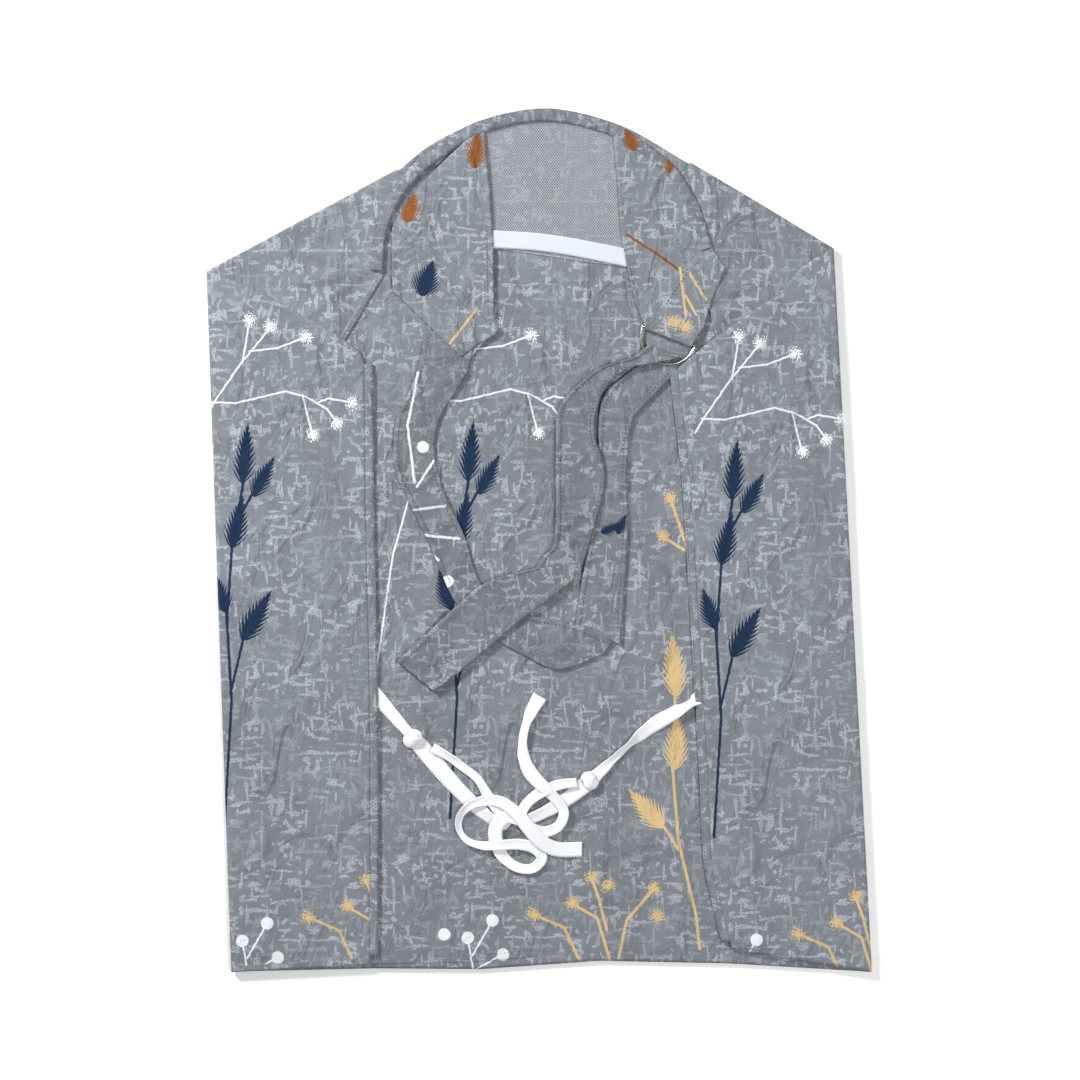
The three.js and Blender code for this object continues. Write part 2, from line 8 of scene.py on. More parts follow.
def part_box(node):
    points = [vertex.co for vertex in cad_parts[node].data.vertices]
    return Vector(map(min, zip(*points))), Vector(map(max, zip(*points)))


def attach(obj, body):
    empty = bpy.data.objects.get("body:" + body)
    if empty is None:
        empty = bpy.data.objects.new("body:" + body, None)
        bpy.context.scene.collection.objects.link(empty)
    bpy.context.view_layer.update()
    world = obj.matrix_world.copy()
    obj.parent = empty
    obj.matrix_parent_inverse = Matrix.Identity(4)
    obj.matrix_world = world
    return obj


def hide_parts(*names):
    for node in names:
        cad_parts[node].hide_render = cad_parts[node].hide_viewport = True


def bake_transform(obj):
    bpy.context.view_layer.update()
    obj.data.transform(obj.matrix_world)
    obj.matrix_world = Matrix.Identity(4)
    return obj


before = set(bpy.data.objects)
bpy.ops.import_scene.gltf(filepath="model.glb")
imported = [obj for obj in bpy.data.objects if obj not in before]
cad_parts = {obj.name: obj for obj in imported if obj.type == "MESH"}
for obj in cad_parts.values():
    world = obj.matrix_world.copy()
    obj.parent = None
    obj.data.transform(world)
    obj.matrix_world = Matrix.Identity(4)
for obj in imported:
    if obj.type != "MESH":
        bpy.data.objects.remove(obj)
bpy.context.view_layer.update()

# ---- The place: a white table seen from straight above ----
# The cover lies flat on a plain white table top. A small lamp stands low at the upper left and brings
# out the folds. A broader one, high on the right, and a bright room fill its shadows.

VIEW_WIDTH = 0.918
LENS = 85.0
SENSOR = 36.0
TABLE_DROP = 0.0013  # an opened side panel's soft waves reach this far down

camera_data = bpy.data.cameras.new("camera")
camera_data.lens = LENS
camera_data.sensor_width = SENSOR
camera = bpy.data.objects.new("camera", camera_data)
bpy.context.collection.objects.link(camera)
camera.location = (0.0004, -0.00025, VIEW_WIDTH * LENS / SENSOR)
bpy.context.scene.camera = camera


def lamp(name, place, aim, size, watts):
    light = bpy.data.lights.new(name, "AREA")
    light.size = size
    light.energy = watts
    holder = bpy.data.objects.new(name, light)
    bpy.context.collection.objects.link(holder)
    holder.location = place
    holder.rotation_euler = (Vector(aim) - Vector(place)).to_track_quat("-Z", "Y").to_euler()


lamp("window", (-1.35, 1.25, 1.0), (0, 0, 0), 0.35, 54)
lamp("ceiling", (1.1, -0.3, 2.0), (0.1, 0, 0), 1.0, 30)

room = bpy.data.worlds.new("room")
room.use_nodes = True
room.node_tree.nodes["Background"].inputs["Color"].default_value = (0.97, 0.985, 1, 1)
room.node_tree.nodes["Background"].inputs["Strength"].default_value = 0.29
bpy.context.scene.world = room
bpy.context.scene.view_settings.view_transform = "Standard"

table_mesh = bmesh.new()
bmesh.ops.create_grid(table_mesh, x_segments=1, y_segments=1, size=4)
bmesh.ops.translate(table_mesh, verts=table_mesh.verts, vec=(0, 0, -TABLE_DROP))
table_data = bpy.data.meshes.new("table")
table_mesh.to_mesh(table_data)
table_mesh.free()
table = bpy.data.objects.new("table", table_data)
bpy.context.collection.objects.link(table)
white = bpy.data.materials.new("white table")
white.use_nodes = True
white.node_tree.nodes["Principled BSDF"].inputs["Base Color"].default_value = (0.97, 0.97, 0.97, 1)
white.node_tree.nodes["Principled BSDF"].inputs["Roughness"].default_value = 0.9
white.node_tree.nodes["Principled BSDF"].inputs["Specular IOR Level"].default_value = 0.1
table_data.materials.append(white)

# ---- Front panel: outer cloth and lining ----
# Two layers of printed cotton, the outer one face down on the table and the lining on top. They lie in
# low soft waves. Places are given as the maker measures them, in millimetres: x from the centre line
# and the drop below the top of the neckline.

MM = 0.001
GOWN_LENGTH = 733.5
COTTON = 0.55
hem_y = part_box("bottom_hem")[0][1]
LEFT_SHOULDER = (-282.5, 139)
LEFT_FOOT = (-261.5, 733.5)
RIGHT_SHOULDER = (249.5, 119.5)
RIGHT_FOOT = (282, 733.5)
HEM_LINE = [(-261.5, 733.5), (-144, 727.5), (-50.5, 725.5), (51.5, 715.5), (163.5, 714.5), (282, 718)]


def spot(x, drop, height=0.0):
    return Vector((x * MM, hem_y + (GOWN_LENGTH - drop) * MM, height * MM))


def mix(a, b, t):
    return a + (b - a) * t


def ease(t):
    t = max(0.0, min(1.0, t))
    return t * t * (3 - 2 * t)


class Seam:
    """A line on the cloth through points of x, drop and sometimes height, rounded if smooth."""

    def __init__(self, points, smooth=False):
        line = [Vector((p[0], p[1], p[2] if len(p) > 2 else 0)) for p in points]
        if smooth and len(line) > 2:
            line = self.rounded(line)
        self.points = line
        self.lengths = [0.0]
        for a, b in zip(line, line[1:]):
            self.lengths.append(self.lengths[-1] + (b - a).length)

    @staticmethod
    def rounded(line):
        ends = [2 * line[0] - line[1], *line, 2 * line[-1] - line[-2]]
        finer = []
        for a, b, c, d in zip(ends, ends[1:], ends[2:], ends[3:]):
            for step in range(12):
                t = step / 12
                bend = (2 * a - 5 * b + 4 * c - d) * t**2
                twist = (3 * b - a - 3 * c + d) * t**3
                finer.append(0.5 * (2 * b + (c - a) * t + bend + twist))
        return [*finer, line[-1]]

    @property
    def length(self):
        return self.lengths[-1]

    def at(self, t):
        far = max(0.0, min(1.0, t)) * self.length
        low, high = 0, len(self.lengths) - 1
        while high - low > 1:
            middle = (low + high) // 2
            if self.lengths[middle] <= far:
                low = middle
            else:
                high = middle
        step = self.lengths[high] - self.lengths[low]
        return self.points[low].lerp(self.points[high], (far - self.lengths[low]) / step if step else 0)

    def heading(self, t):
        way = self.at(t + 0.004) - self.at(t - 0.004)
        return way.normalized()

    def beside(self, offset, start=0.0, end=1.0, count=40):
        """The same line moved to its right-hand side, as seen from above."""
        moved = []
        for i in range(count + 1):
            t = mix(start, end, i / count)
            way = self.heading(t)
            moved.append(self.at(t) + Vector((-way.y, way.x, 0)).normalized() * offset)
        return Seam(moved)


def ridge(x, drop, start, end, height, width):
    """A soft crease raised along a line, dying out at its ends."""
    a = Vector(start)
    b = Vector(end)
    way = b - a
    t = (Vector((x, drop)) - a).dot(way) / way.length_squared
    if t < -0.15 or t > 1.15:
        return 0.0
    near = a + way * max(0, min(1, t))
    away = (Vector((x, drop)) - near).length / width
    if away > 3:
        return 0.0
    return height * math.exp(-away * away) * ease((t + 0.15) / 0.3) * ease((1.15 - t) / 0.3)


FRONT_CREASES = [
    ((60, 215), (118, 560), 1.3, 16),
    ((-60, 600), (20, 690), 0.9, 10),
    ((30, 640), (120, 610), 0.9, 9),
    ((-130, 590), (-40, 660), 0.8, 9),
    ((-20, 655), (90, 672), 0.8, 7),
    ((-30, 150), (60, 190), 0.9, 10),
    ((-40, 215), (30, 205), 0.7, 6),
    ((-10, 250), (-30, 380), 0.8, 12),
    ((100, 420), (125, 690), 1.1, 12),
    ((-130, 300), (-105, 470), 1.0, 12),
    ((-120, 560), (-100, 720), 0.9, 10),
]


def waves(x, drop):
    """Height of the front's waves above its flat lie."""
    slow = 0.5 + 0.5 * noise.noise(Vector((x * 0.011, drop * 0.009, 3.1)))
    quick = 0.5 + 0.5 * noise.noise(Vector((x * 0.035, drop * 0.028, 7.7)))
    height = 1.0 * slow * slow + 0.5 * quick
    for start, end, rise, width in FRONT_CREASES:
        height += ridge(x, drop, start, end, rise, width)
    return height


def piece_from(name, mesh, material, body, *nodes):
    """The finished mesh as a piece that stands for its CAD nodes and rides on its body, if it has one."""
    data = bpy.data.meshes.new(name)
    mesh.to_mesh(data)
    mesh.free()
    for face in data.polygons:
        face.use_smooth = True
    data.materials.append(material)
    made = bpy.data.objects.new(name, data)
    bpy.context.collection.objects.link(made)
    if body:
        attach(made, body)
    if nodes:
        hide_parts(*nodes)
    return made


def cut_cloth(left, right, top, bottom, across, down, lie):
    """A grid of cloth between four sides. lie turns (u, v, point) into the point where it rests."""
    cloth = bmesh.new()
    bmesh.ops.create_grid(cloth, x_segments=across, y_segments=down, size=0.5)
    corner_tl, corner_tr = top.at(0), top.at(1)
    corner_bl, corner_br = bottom.at(0), bottom.at(1)
    for vertex in cloth.verts:
        u = vertex.co.x + 0.5
        v = 0.5 - vertex.co.y
        flat = (
            top.at(u) * (1 - v)
            + bottom.at(u) * v
            + left.at(v) * (1 - u)
            + right.at(v) * u
            - corner_tl * (1 - u) * (1 - v)
            - corner_tr * u * (1 - v)
            - corner_bl * (1 - u) * v
            - corner_br * u * v
        )
        vertex.co = spot(*lie(u, v, flat))
    bmesh.ops.recalc_face_normals(cloth, faces=cloth.faces)
    if sum(face.normal.z for face in cloth.faces) < 0:
        bmesh.ops.reverse_faces(cloth, faces=cloth.faces)
    return cloth


def thicken(piece, thickness):
    wall = piece.modifiers.new("thickness", "SOLIDIFY")
    wall.thickness = thickness * MM
    wall.offset = 0
    wall.use_even_offset = False
    return piece


class Thread:
    """One value that runs through a finish. Sums and products of threads add Math nodes."""

    def __init__(self, finish, socket):
        self.finish = finish
        self.socket = socket

    def __add__(self, other):
        return self.finish.maths("ADD", self, other)

    def __sub__(self, other):
        return self.finish.maths("SUBTRACT", self, other)

    def __rsub__(self, other):
        return self.finish.maths("SUBTRACT", other, self)

    def __mul__(self, other):
        return self.finish.maths("MULTIPLY", self, other)

    def __truediv__(self, other):
        return self.finish.maths("DIVIDE", self, other)

    __radd__ = __add__
    __rmul__ = __mul__


class Finish:
    """A material's nodes: node() adds any node, maths() a Math node and blend() a mix of colours."""

    def __init__(self, name):
        self.material = bpy.data.materials.new(name)
        self.material.use_nodes = True
        self.tree = self.material.node_tree
        self.shader = self.tree.nodes["Principled BSDF"]

    def put(self, socket, value):
        if isinstance(value, Thread):
            self.tree.links.new(value.socket, socket)
        elif isinstance(value, (tuple, list)) and len(value) == 3 and socket.type == "RGBA":
            socket.default_value = (*value, 1)
        else:
            socket.default_value = value

    def node(self, kind, sockets=None, out=0, stops=None, **settings):
        made = self.tree.nodes.new("ShaderNode" + kind)
        for name, value in settings.items():
            setattr(made, name, value)
        for place, value in (sockets or {}).items():
            self.put(made.inputs[place], value)
        if stops:
            ramp = made.color_ramp.elements
            ramp[0].position, ramp[0].color = stops[0][0], (*stops[0][1], 1)
            ramp[1].position, ramp[1].color = stops[-1][0], (*stops[-1][1], 1)
            for position, colour in stops[1:-1]:
                ramp.new(position).color = (*colour, 1)
        return Thread(self, made.outputs[out])

    def maths(self, operation, a, b=0.0, c=0.0, clamp=False):
        return self.node("Math", {0: a, 1: b, 2: c}, operation=operation, use_clamp=clamp)

    def vectors(self, operation, a, b=(0, 0, 0), c=(0, 0, 0), out=0):
        return self.node("VectorMath", {0: a, 1: b, 2: c}, out=out, operation=operation)

    def blend(self, a, b, share):
        return self.node("Mix", {0: share, 6: a, 7: b}, out=2, data_type="RGBA")

    def set(self, **values):
        for name, value in values.items():
            self.put(self.shader.inputs[name.replace("_", " ")], value)
        return self.material


GREY_GROUND = (0.186, 0.202, 0.226)
PALE_SLUB = (0.40, 0.425, 0.475)
NAVY = (0.006, 0.022, 0.058)
GOLD = (0.60, 0.43, 0.21)
RUST = (0.22, 0.075, 0.015)
BRANCH_WHITE = (0.72, 0.74, 0.77)


def cloth_place(finish, shift):
    """Place on the cloth in millimetres, moved to suit this piece's share of the print."""
    place = finish.node("TexCoord", out=3)
    return finish.vectors("MULTIPLY_ADD", place, (1000, 1000, 0), (-shift[0], -shift[1], 0))


def stroke(finish, p, start, end):
    """How far a place is from the line between two others."""
    a = Vector((start[0], -start[1], 0))
    way = Vector((end[0], -end[1], 0)) - a
    from_start = finish.vectors("SUBTRACT", p, tuple(a))
    share = finish.vectors("DOT_PRODUCT", from_start, tuple(way / way.length_squared), out=1)
    share = finish.maths("MULTIPLY", share, 1.0, clamp=True)
    along = finish.node("VectorMath", {0: tuple(way), 3: share}, operation="SCALE")
    return finish.vectors("DISTANCE", from_start, along, out=1)


def nearest(finish, distances):
    """The least distance: each is joined as soon as it is known, which keeps the finish light."""
    least = next(distances)
    for distance in distances:
        least = finish.maths("MINIMUM", least, distance)
    return least


def within(finish, distance, reach):
    """Painted where the distance is under the reach, with a soft edge."""
    return finish.maths("MULTIPLY_ADD", distance, -1.6, 0.5 + 1.6 * reach, clamp=True)


def ear(finish, p, foot, tip, width, barbs=9):
    """A barbed ear of grain or a serrated leaf, painted from its foot to its tip."""
    a = Vector((foot[0], -foot[1], 0))
    way = Vector((tip[0], -tip[1], 0)) - a
    side = Vector((-way.y, way.x, 0)).normalized()
    from_foot = finish.vectors("SUBTRACT", p, tuple(a))
    share = finish.vectors("DOT_PRODUCT", from_foot, tuple(way / way.length_squared), out=1)
    share = finish.maths("MULTIPLY", share, 1.0, clamp=True)
    out = finish.maths("ABSOLUTE", finish.vectors("DOT_PRODUCT", from_foot, tuple(side), out=1))
    bulge = finish.maths("SINE", finish.maths("POWER", share, 0.62) * math.pi)
    tooth = finish.maths("FRACT", share * barbs - out * (1.3 * barbs / way.length))
    edge = bulge * (tooth * (0.5 * width) + 0.32 * width)
    return finish.maths("MULTIPLY", edge - out, 1.8, clamp=True)


# The print's drawing on the left side panel's cloth: its other cloths show it shifted.
NAVY_EARS = [
    ((-252, 319), (-247, 266), 13),
    ((-243, 330), (-224, 295), 12),
    ((-261, 374), (-251, 328), 14),
    ((-266, 428), (-277, 393), 13),
    ((-252, 452), (-227, 409), 15),
]
NAVY_STEM = [(-251, 317), (-261, 374), (-265, 437), (-261, 503), (-267, 605)]
NAVY_TWIGS = [[(-244, 329), (-257, 352)], [(-266, 427), (-264, 452)], [(-251, 450), (-262, 497)]]
WHITE_STEMS = [
    [(-283, 262), (-276, 250), (-253, 217), (-229, 188)],
    [(-252, 217), (-246, 183)],
    [(-246, 207), (-222, 204), (-200, 196)],
    [(-278, 250), (-258, 251), (-216, 241), (-199, 245), (-180, 256), (-173, 266)],
    [(-201, 244), (-193, 276)],
    [(-187, 250), (-179, 247), (-161, 250)],
]
WHITE_BURRS = [(-228, 186), (-246, 180), (-198, 195), (-172, 268), (-159, 250), (-192, 278)]
LONG_WHITE_STEM = [(-283, 262), (-297, 316), (-316, 384), (-331, 490)]
WHITE_DOTS = [(-252, 707), (-231, 692), (-222, 721), (-272, 704)]
DOT_STEMS = [[(-252, 707), (-247, 736)], [(-231, 692), (-248, 722)], [(-222, 721), (-244, 733)]]
GOLD_BURRS = [(-196, 687), (-163, 677), (-147, 655), (-133, 662), (-94, 665), (-91, 688)]
GOLD_STEMS = [
    [(-196, 687), (-170, 698), (-158, 724)],
    [(-163, 678), (-142, 690), (-131, 726)],
    [(-147, 656), (-141, 672), (-134, 700)],
    [(-94, 665), (-117, 692), (-124, 724)],
]
GOLD_EARS = [
    ((-75, 502), (-79, 446), 15),
    ((-76, 564), (-74, 515), 15),
    ((-86, 613), (-116, 580), 15),
]
GOLD_STEM = [(-76, 502), (-78, 565), (-73, 625), (-58, 688), (-55, 716)]
GOLD_TWIGS = [[(-85, 613), (-73, 632)], [(-80, 334), (-64, 380)], [(-85, 367), (-64, 380)]]
GOLD_HEADS = [(-80, 333), (-86, 366)]


def lines(finish, p, stems, thick):
    """Thin painted stems, all of one thickness."""
    pairs = [pair for points in stems for pair in zip(points, points[1:])]
    return within(finish, nearest(finish, (stroke(finish, p, a, b) for a, b in pairs)), thick / 2)


def spots(finish, p, places, size):
    """Round dots or seed heads of one size."""

    def far(place):
        return finish.vectors("DISTANCE", p, (place[0], -place[1], 0), out=1)

    return within(finish, nearest(finish, (far(place) for place in places)), size / 2)


def ears(finish, p, leaves):
    """Where any of the barbed ears and leaves is."""
    whole = 0.0
    for leaf in leaves:
        whole = finish.maths("MAXIMUM", ear(finish, p, *leaf), whole)
    return whole


def panel_print(finish, p, rough):
    """The drawing as far as a side panel shows it, colour by colour."""
    yield NAVY, ears(finish, p, NAVY_EARS)
    yield NAVY, lines(finish, p, [NAVY_STEM, *NAVY_TWIGS], 2.3)
    yield BRANCH_WHITE, lines(finish, p, WHITE_STEMS + DOT_STEMS, 1.5)
    yield BRANCH_WHITE, spots(finish, rough, WHITE_BURRS, 9.0)
    yield BRANCH_WHITE, spots(finish, p, WHITE_DOTS, 10.5)
    yield GOLD, lines(finish, p, GOLD_STEMS[:3], 2.2)
    yield GOLD, spots(finish, rough, GOLD_BURRS[:4], 9.5)


def lining_print(finish, p, rough):
    """The drawing as far as the lining shows it between the side panels."""
    yield NAVY, ears(finish, p, NAVY_EARS)
    yield NAVY, lines(finish, p, [NAVY_STEM, *NAVY_TWIGS], 2.3)
    yield BRANCH_WHITE, lines(finish, p, [*WHITE_STEMS, LONG_WHITE_STEM, *DOT_STEMS], 1.5)
    yield BRANCH_WHITE, spots(finish, rough, WHITE_BURRS, 9.0)
    yield BRANCH_WHITE, spots(finish, p, WHITE_DOTS, 10.5)
    yield GOLD, ears(finish, p, GOLD_EARS)
    yield GOLD, lines(finish, p, [GOLD_STEM, *GOLD_STEMS, *GOLD_TWIGS], 2.4)
    yield GOLD, spots(finish, rough, GOLD_BURRS + GOLD_HEADS, 9.5)


def printed_cotton(name, shift=(0, 0), drawing=panel_print, tone_and_painted_shade=1.0, turn=0.0):
    """Plain-woven cotton with a slubbed grey ground and a plant drawing over it."""
    finish = Finish(name)
    place = cloth_place(finish, (shift[0], hem_y * 1000 + GOWN_LENGTH + shift[1]))
    ground_place = finish.node("Mapping", {"Vector": place, "Rotation": (0, 0, turn)})

    def streaks(wide, tall, low, high):
        grain = finish.vectors("MULTIPLY", ground_place, (wide, tall, 0))
        cloud = finish.node(
            "TexNoise", {"Vector": grain, "Scale": 1.0, "Detail": 0.4}, noise_dimensions="2D"
        )
        return finish.maths("MULTIPLY", cloud - low, 1 / (high - low), clamp=True)

    flat = streaks(0.060, 0.24, 0.64, 0.685)
    upright = streaks(0.24, 0.060, 0.65, 0.695)
    blots = streaks(0.16, 0.18, 0.655, 0.70)
    slubs = finish.maths("MAXIMUM", finish.maths("MAXIMUM", flat, upright), blots)
    broken = streaks(0.9, 0.9, 0.34, 0.5)
    clumps = streaks(0.030, 0.036, 0.42, 0.56)
    threads = streaks(2.6, 0.35, 0.3, 0.7)
    weft = streaks(0.35, 2.6, 0.3, 0.7)
    tall_bands = streaks(0.02, 0.012, 0.3, 0.7)
    ground = finish.blend(GREY_GROUND, PALE_SLUB, slubs * broken * (clumps * 0.5 + 0.35))
    # The tone darkens the whole cloth. On the neck strap's runs it is painted shade: a darker cloth stands
    # in for the shadow on and inside the strap.
    weave = threads * 0.12 + weft * 0.12 + tall_bands * 0.10 + (0.83 * tone_and_painted_shade)
    ground = finish.node(
        "Mix", {0: 1.0, 6: ground, 7: weave}, out=2, data_type="RGBA", blend_type="MULTIPLY"
    )
    if drawing:
        ripple = finish.node(
            "TexNoise", {"Vector": place, "Scale": 0.22, "Detail": 2.0}, out=1, noise_dimensions="2D"
        )
        ripple = finish.vectors("MULTIPLY_ADD", ripple, (1.2, 1.2, 0), (-0.6, -0.6, 0))
        drawn_place = finish.vectors("ADD", place, ripple)
        frayed = finish.node(
            "TexNoise", {"Vector": place, "Scale": 0.75, "Detail": 0.0}, out=1, noise_dimensions="2D"
        )
        frayed_place = finish.vectors("MULTIPLY_ADD", frayed, (11, 11, 0), (-5.5, -5.5, 0))
        frayed_place = finish.vectors("ADD", place, frayed_place)
        for colour, mask in drawing(finish, drawn_place, frayed_place):
            ground = finish.blend(ground, colour, mask * (threads * 0.03 + 0.97))
    drape = finish.vectors("MULTIPLY", ground_place, (0.034, 0.019, 0))
    drape = finish.node(
        "TexNoise",
        {"Vector": drape, "Scale": 1.0, "Detail": 3.0, "Distortion": 0.7},
        noise_dimensions="2D",
    )
    soft_relief = finish.node("Bump", {"Strength": 0.8, "Distance": 0.0080, "Height": drape})
    relief = finish.node(
        "Bump",
        {
            "Strength": 0.35,
            "Distance": 0.0003,
            "Height": threads * 0.5 + weft * 0.5 + slubs * 0.25,
            "Normal": soft_relief,
        },
    )
    roughness = 0.92 - slubs * 0.08
    finish.set(Base_Color=ground, Roughness=roughness, Normal=relief, Specular_IOR_Level=0.18)
    finish.set(Sheen_Weight=0.03, Sheen_Roughness=0.5)
    return finish.material


OUTER_SHIFT = (0, 0)
LINING_SHIFT = (191, 2)
UNDER = 5.0  # width of the strip that the side panels' cloth shares with the front

left_fold = Seam([LEFT_SHOULDER, LEFT_FOOT])
right_fold = Seam([RIGHT_SHOULDER, RIGHT_FOOT])
neck_edge = Seam(
    [(-121, 52.5), (-93, 31), (-50.5, 11.5), (4.5, 1.0), (68.5, 14), (128, 46.5)], smooth=True
)
front_top = Seam([LEFT_SHOULDER, *neck_edge.points, (185.5, 80.5), RIGHT_SHOULDER])
front_hem = Seam(HEM_LINE)


def front_lie(base, share, inset):
    def lie(u, v, p):
        x = p.x + mix(inset, -inset, u)
        settled = min(1.0, v / 0.03, (1 - v) / 0.02, u / 0.02, (1 - u) / 0.02)
        return x, p.y, base + share * ease(settled) * waves(x, p.y)

    return lie


front_outer = piece_from(
    "front_outer_cloth",
    cut_cloth(left_fold, right_fold, front_top, front_hem, 110, 140, front_lie(0.3, 0.12, UNDER)),
    printed_cotton("printed cotton, front", OUTER_SHIFT),
    "front",
    "front_panel_outer",
)
thicken(front_outer, COTTON)

lining_cotton = printed_cotton("printed cotton, lining", LINING_SHIFT, lining_print, tone_and_painted_shade=0.96)
front_lining = piece_from(
    "front_lining",
    cut_cloth(left_fold, right_fold, front_top, front_hem, 190, 240, front_lie(1.2, 1.0, UNDER)),
    lining_cotton,
    "front",
    "front_panel_lining",
)
thicken(front_lining, COTTON)

# ---- Hems of the front and of both sides ----
# Each edge of the cover is turned under twice and stitched down with grey thread, which makes a flat
# band a little thicker than the cloth beside it.


def tube(line, width, height, sides=10, square=0.6, closed=False):
    """A solid along points in metres: a flattened round section that keeps level as it goes."""
    count = len(line)
    body = bmesh.new()
    bmesh.ops.create_grid(body, x_segments=sides, y_segments=count - 1, size=0.5)
    for vertex in body.verts:
        turn = 2 * math.pi * (vertex.co.x + 0.5)
        i = min(count - 1, round((vertex.co.y + 0.5) * (count - 1)))
        before = line[(i - 1) % count] if closed else line[max(0, i - 1)]
        after = line[(i + 1) % count] if closed else line[min(count - 1, i + 1)]
        way = (after - before).normalized()
        side = Vector((-way.y, way.x, 0)).normalized()
        up = way.cross(side) * -1
        wide = width(i / (count - 1)) if callable(width) else width
        high = height(i / (count - 1)) if callable(height) else height
        c, t = math.cos(turn), math.sin(turn)
        out = math.copysign(abs(c) ** square, c) * wide / 2
        rise = math.copysign(abs(t) ** square, t) * high / 2
        vertex.co = line[i] + (side * out - up * rise) * MM
    bmesh.ops.remove_doubles(body, verts=body.verts, dist=1e-6)
    if not closed:
        bmesh.ops.holes_fill(body, edges=[edge for edge in body.edges if edge.is_boundary], sides=0)
    bmesh.ops.recalc_face_normals(body, faces=body.faces)
    return body


def stitched(name, line, body, lift=0.35, pitch=3.2, length=2.1, gauge=0.42):
    """A row of machine stitches along points in metres, each a short bead of thread."""
    seam = Seam([tuple(p / MM) for p in line])
    row = bmesh.new()
    count = int(seam.length / pitch)
    for i in range(count):
        t = (i + 0.5) / count
        way = seam.heading(t)
        place = (seam.at(t) + Vector((0, 0, lift))) * MM
        turn = way.to_track_quat("X", "Z").to_matrix().to_4x4()
        size = Matrix.Diagonal((length * MM, gauge * MM, gauge * MM, 1))
        bmesh.ops.create_uvsphere(
            row, u_segments=6, v_segments=4, radius=0.5, matrix=Matrix.Translation(place) @ turn @ size
        )
    made = piece_from(name, row, grey_thread, body)
    return made


def thread_finish():
    finish = Finish("grey sewing thread")
    place = finish.vectors("MULTIPLY", finish.node("TexCoord", out=3), (1000, 1000, 1000))
    twist = finish.node("TexNoise", {"Vector": place, "Scale": 2.2, "Detail": 1.0})
    colour = finish.blend((0.045, 0.048, 0.056), (0.11, 0.115, 0.13), twist)
    return finish.set(Base_Color=colour, Roughness=0.8, Specular_IOR_Level=0.2)


grey_thread = thread_finish()
HEM = 7.0
HEM_THICK = 2.0
plain_cotton = printed_cotton("printed cotton, hems", (37, 11), drawing=None)

middle_of_hem = Seam([(x, drop - HEM / 2) for x, drop in HEM_LINE])
hem_points = [middle_of_hem.at(i / 180) for i in range(2, 179)]
hem_line = [spot(p.x, p.y, 1.0 + 0.05 * waves(p.x, p.y)) for p in hem_points]
front_hem_band = piece_from(
    "front_bottom_hem",
    tube(hem_line, HEM + 0.6, HEM_THICK, square=0.45),
    lining_cotton,
    "front",
    "bottom_hem",
)
stitched(
    "front_hem_stitches",
    [spot(p.x, p.y - HEM / 2 + 1.2, 2.0) for p in hem_points[:: 4]],
    "front",
    lift=0.0,
)

# ---- Folded-down shoulder corners ----
# The top corners of the apron are folded down over the lining before the sides are folded in. Each
# shows the printed face, gathers into small pleats at the neckline and ends in a narrow hem.

CORNER_LEVEL = 2.4


def fold_columns(u, columns, under, bend):
    """Which part of a folded sheet a column is in: (part, share of that part)."""
    column = round(u * columns)
    if column < under:
        return "under", column / under
    if column < under + bend:
        return "bend", (column - under) / bend
    return "over", (column - under - bend) / (columns - under - bend)


def folded_cloth(fold, inward, free, top, foot, low, high, columns, down, rise, width_under=UNDER):
    """Cloth that starts under a fold line, turns round it and lies back over, out to its free edge."""
    radius = (high - low) / 2
    under, bend = 2, 8

    def lie(u, v, p):
        part, share = fold_columns(u, columns, under, bend)
        v = v**1.25
        edge = fold.at(v)
        if part == "under":
            away = mix(width_under, radius, share)
            return edge.x + inward.x * away, edge.y + inward.y * away, low
        if part == "bend":
            turn = math.pi * share
            away = radius * (1 - math.sin(turn))
            lifted = rise(edge.x, edge.y, 0, v) * share
            height = (low + high) / 2 - radius * math.cos(turn) + lifted
            return edge.x + inward.x * away, edge.y + inward.y * away, height
        near = edge + Vector((inward.x, inward.y, 0)) * radius
        head = top.at(share)
        base = foot.at(share)
        flat = head * (1 - v) + base * v
        straight_edge = top.at(0) * (1 - v) + foot.at(0) * v
        straight_free = top.at(1) * (1 - v) + foot.at(1) * v
        flat += (near - straight_edge) * (1 - share) + (free.at(v) - straight_free) * share
        return flat.x, flat.y, high + rise(flat.x, flat.y, share, v)

    blank = Seam([(0, 0), (0, 1)])
    wide = Seam([(0, 0), (1, 0)])
    return cut_cloth(blank, blank, wide, wide, columns, down, lie)


LEFT_PLEATS = [
    ((-146, 136), (-205, 120), 1.5, 4),
    ((-146, 138), (-215, 150), 1.6, 5),
    ((-150, 142), (-200, 178), 1.4, 5),
    ((-142, 128), (-180, 92), 1.2, 5),
    ((-140, 120), (-160, 78), 1.0, 4),
    ((-255, 160), (-175, 187), 1.0, 6),
    ((-215, 105), (-150, 70), 0.8, 8),
]
RIGHT_PLEATS = [
    ((146, 158), (222, 139), 2.0, 7),
    ((150, 178), (215, 152), 1.8, 7),
    ((143, 132), (188, 110), 1.3, 6),
    ((136, 92), (180, 92), 1.2, 6),
    ((160, 75), (235, 118), 0.9, 8),
]


def pleated(pleats, seed):
    def rise(x, drop, share, v):
        height = 0.5 * (0.5 + 0.5 * noise.noise(Vector((x * 0.03, drop * 0.03, seed)))) * ease(share * 6)
        return height + sum(ridge(x, drop, a, b, h, w) for a, b, h, w in pleats)

    return rise


left_pleated = pleated(LEFT_PLEATS, 11.3)
right_pleated = pleated(RIGHT_PLEATS, 15.9)


def half_normal(fold, inside):
    """The direction across a straight fold, towards a point inside."""
    way = fold.at(1) - fold.at(0)
    side = Vector((-way.y, way.x, 0)).normalized()
    return side if side.dot(Vector((inside[0], inside[1], 0)) - fold.at(0)) > 0 else -side


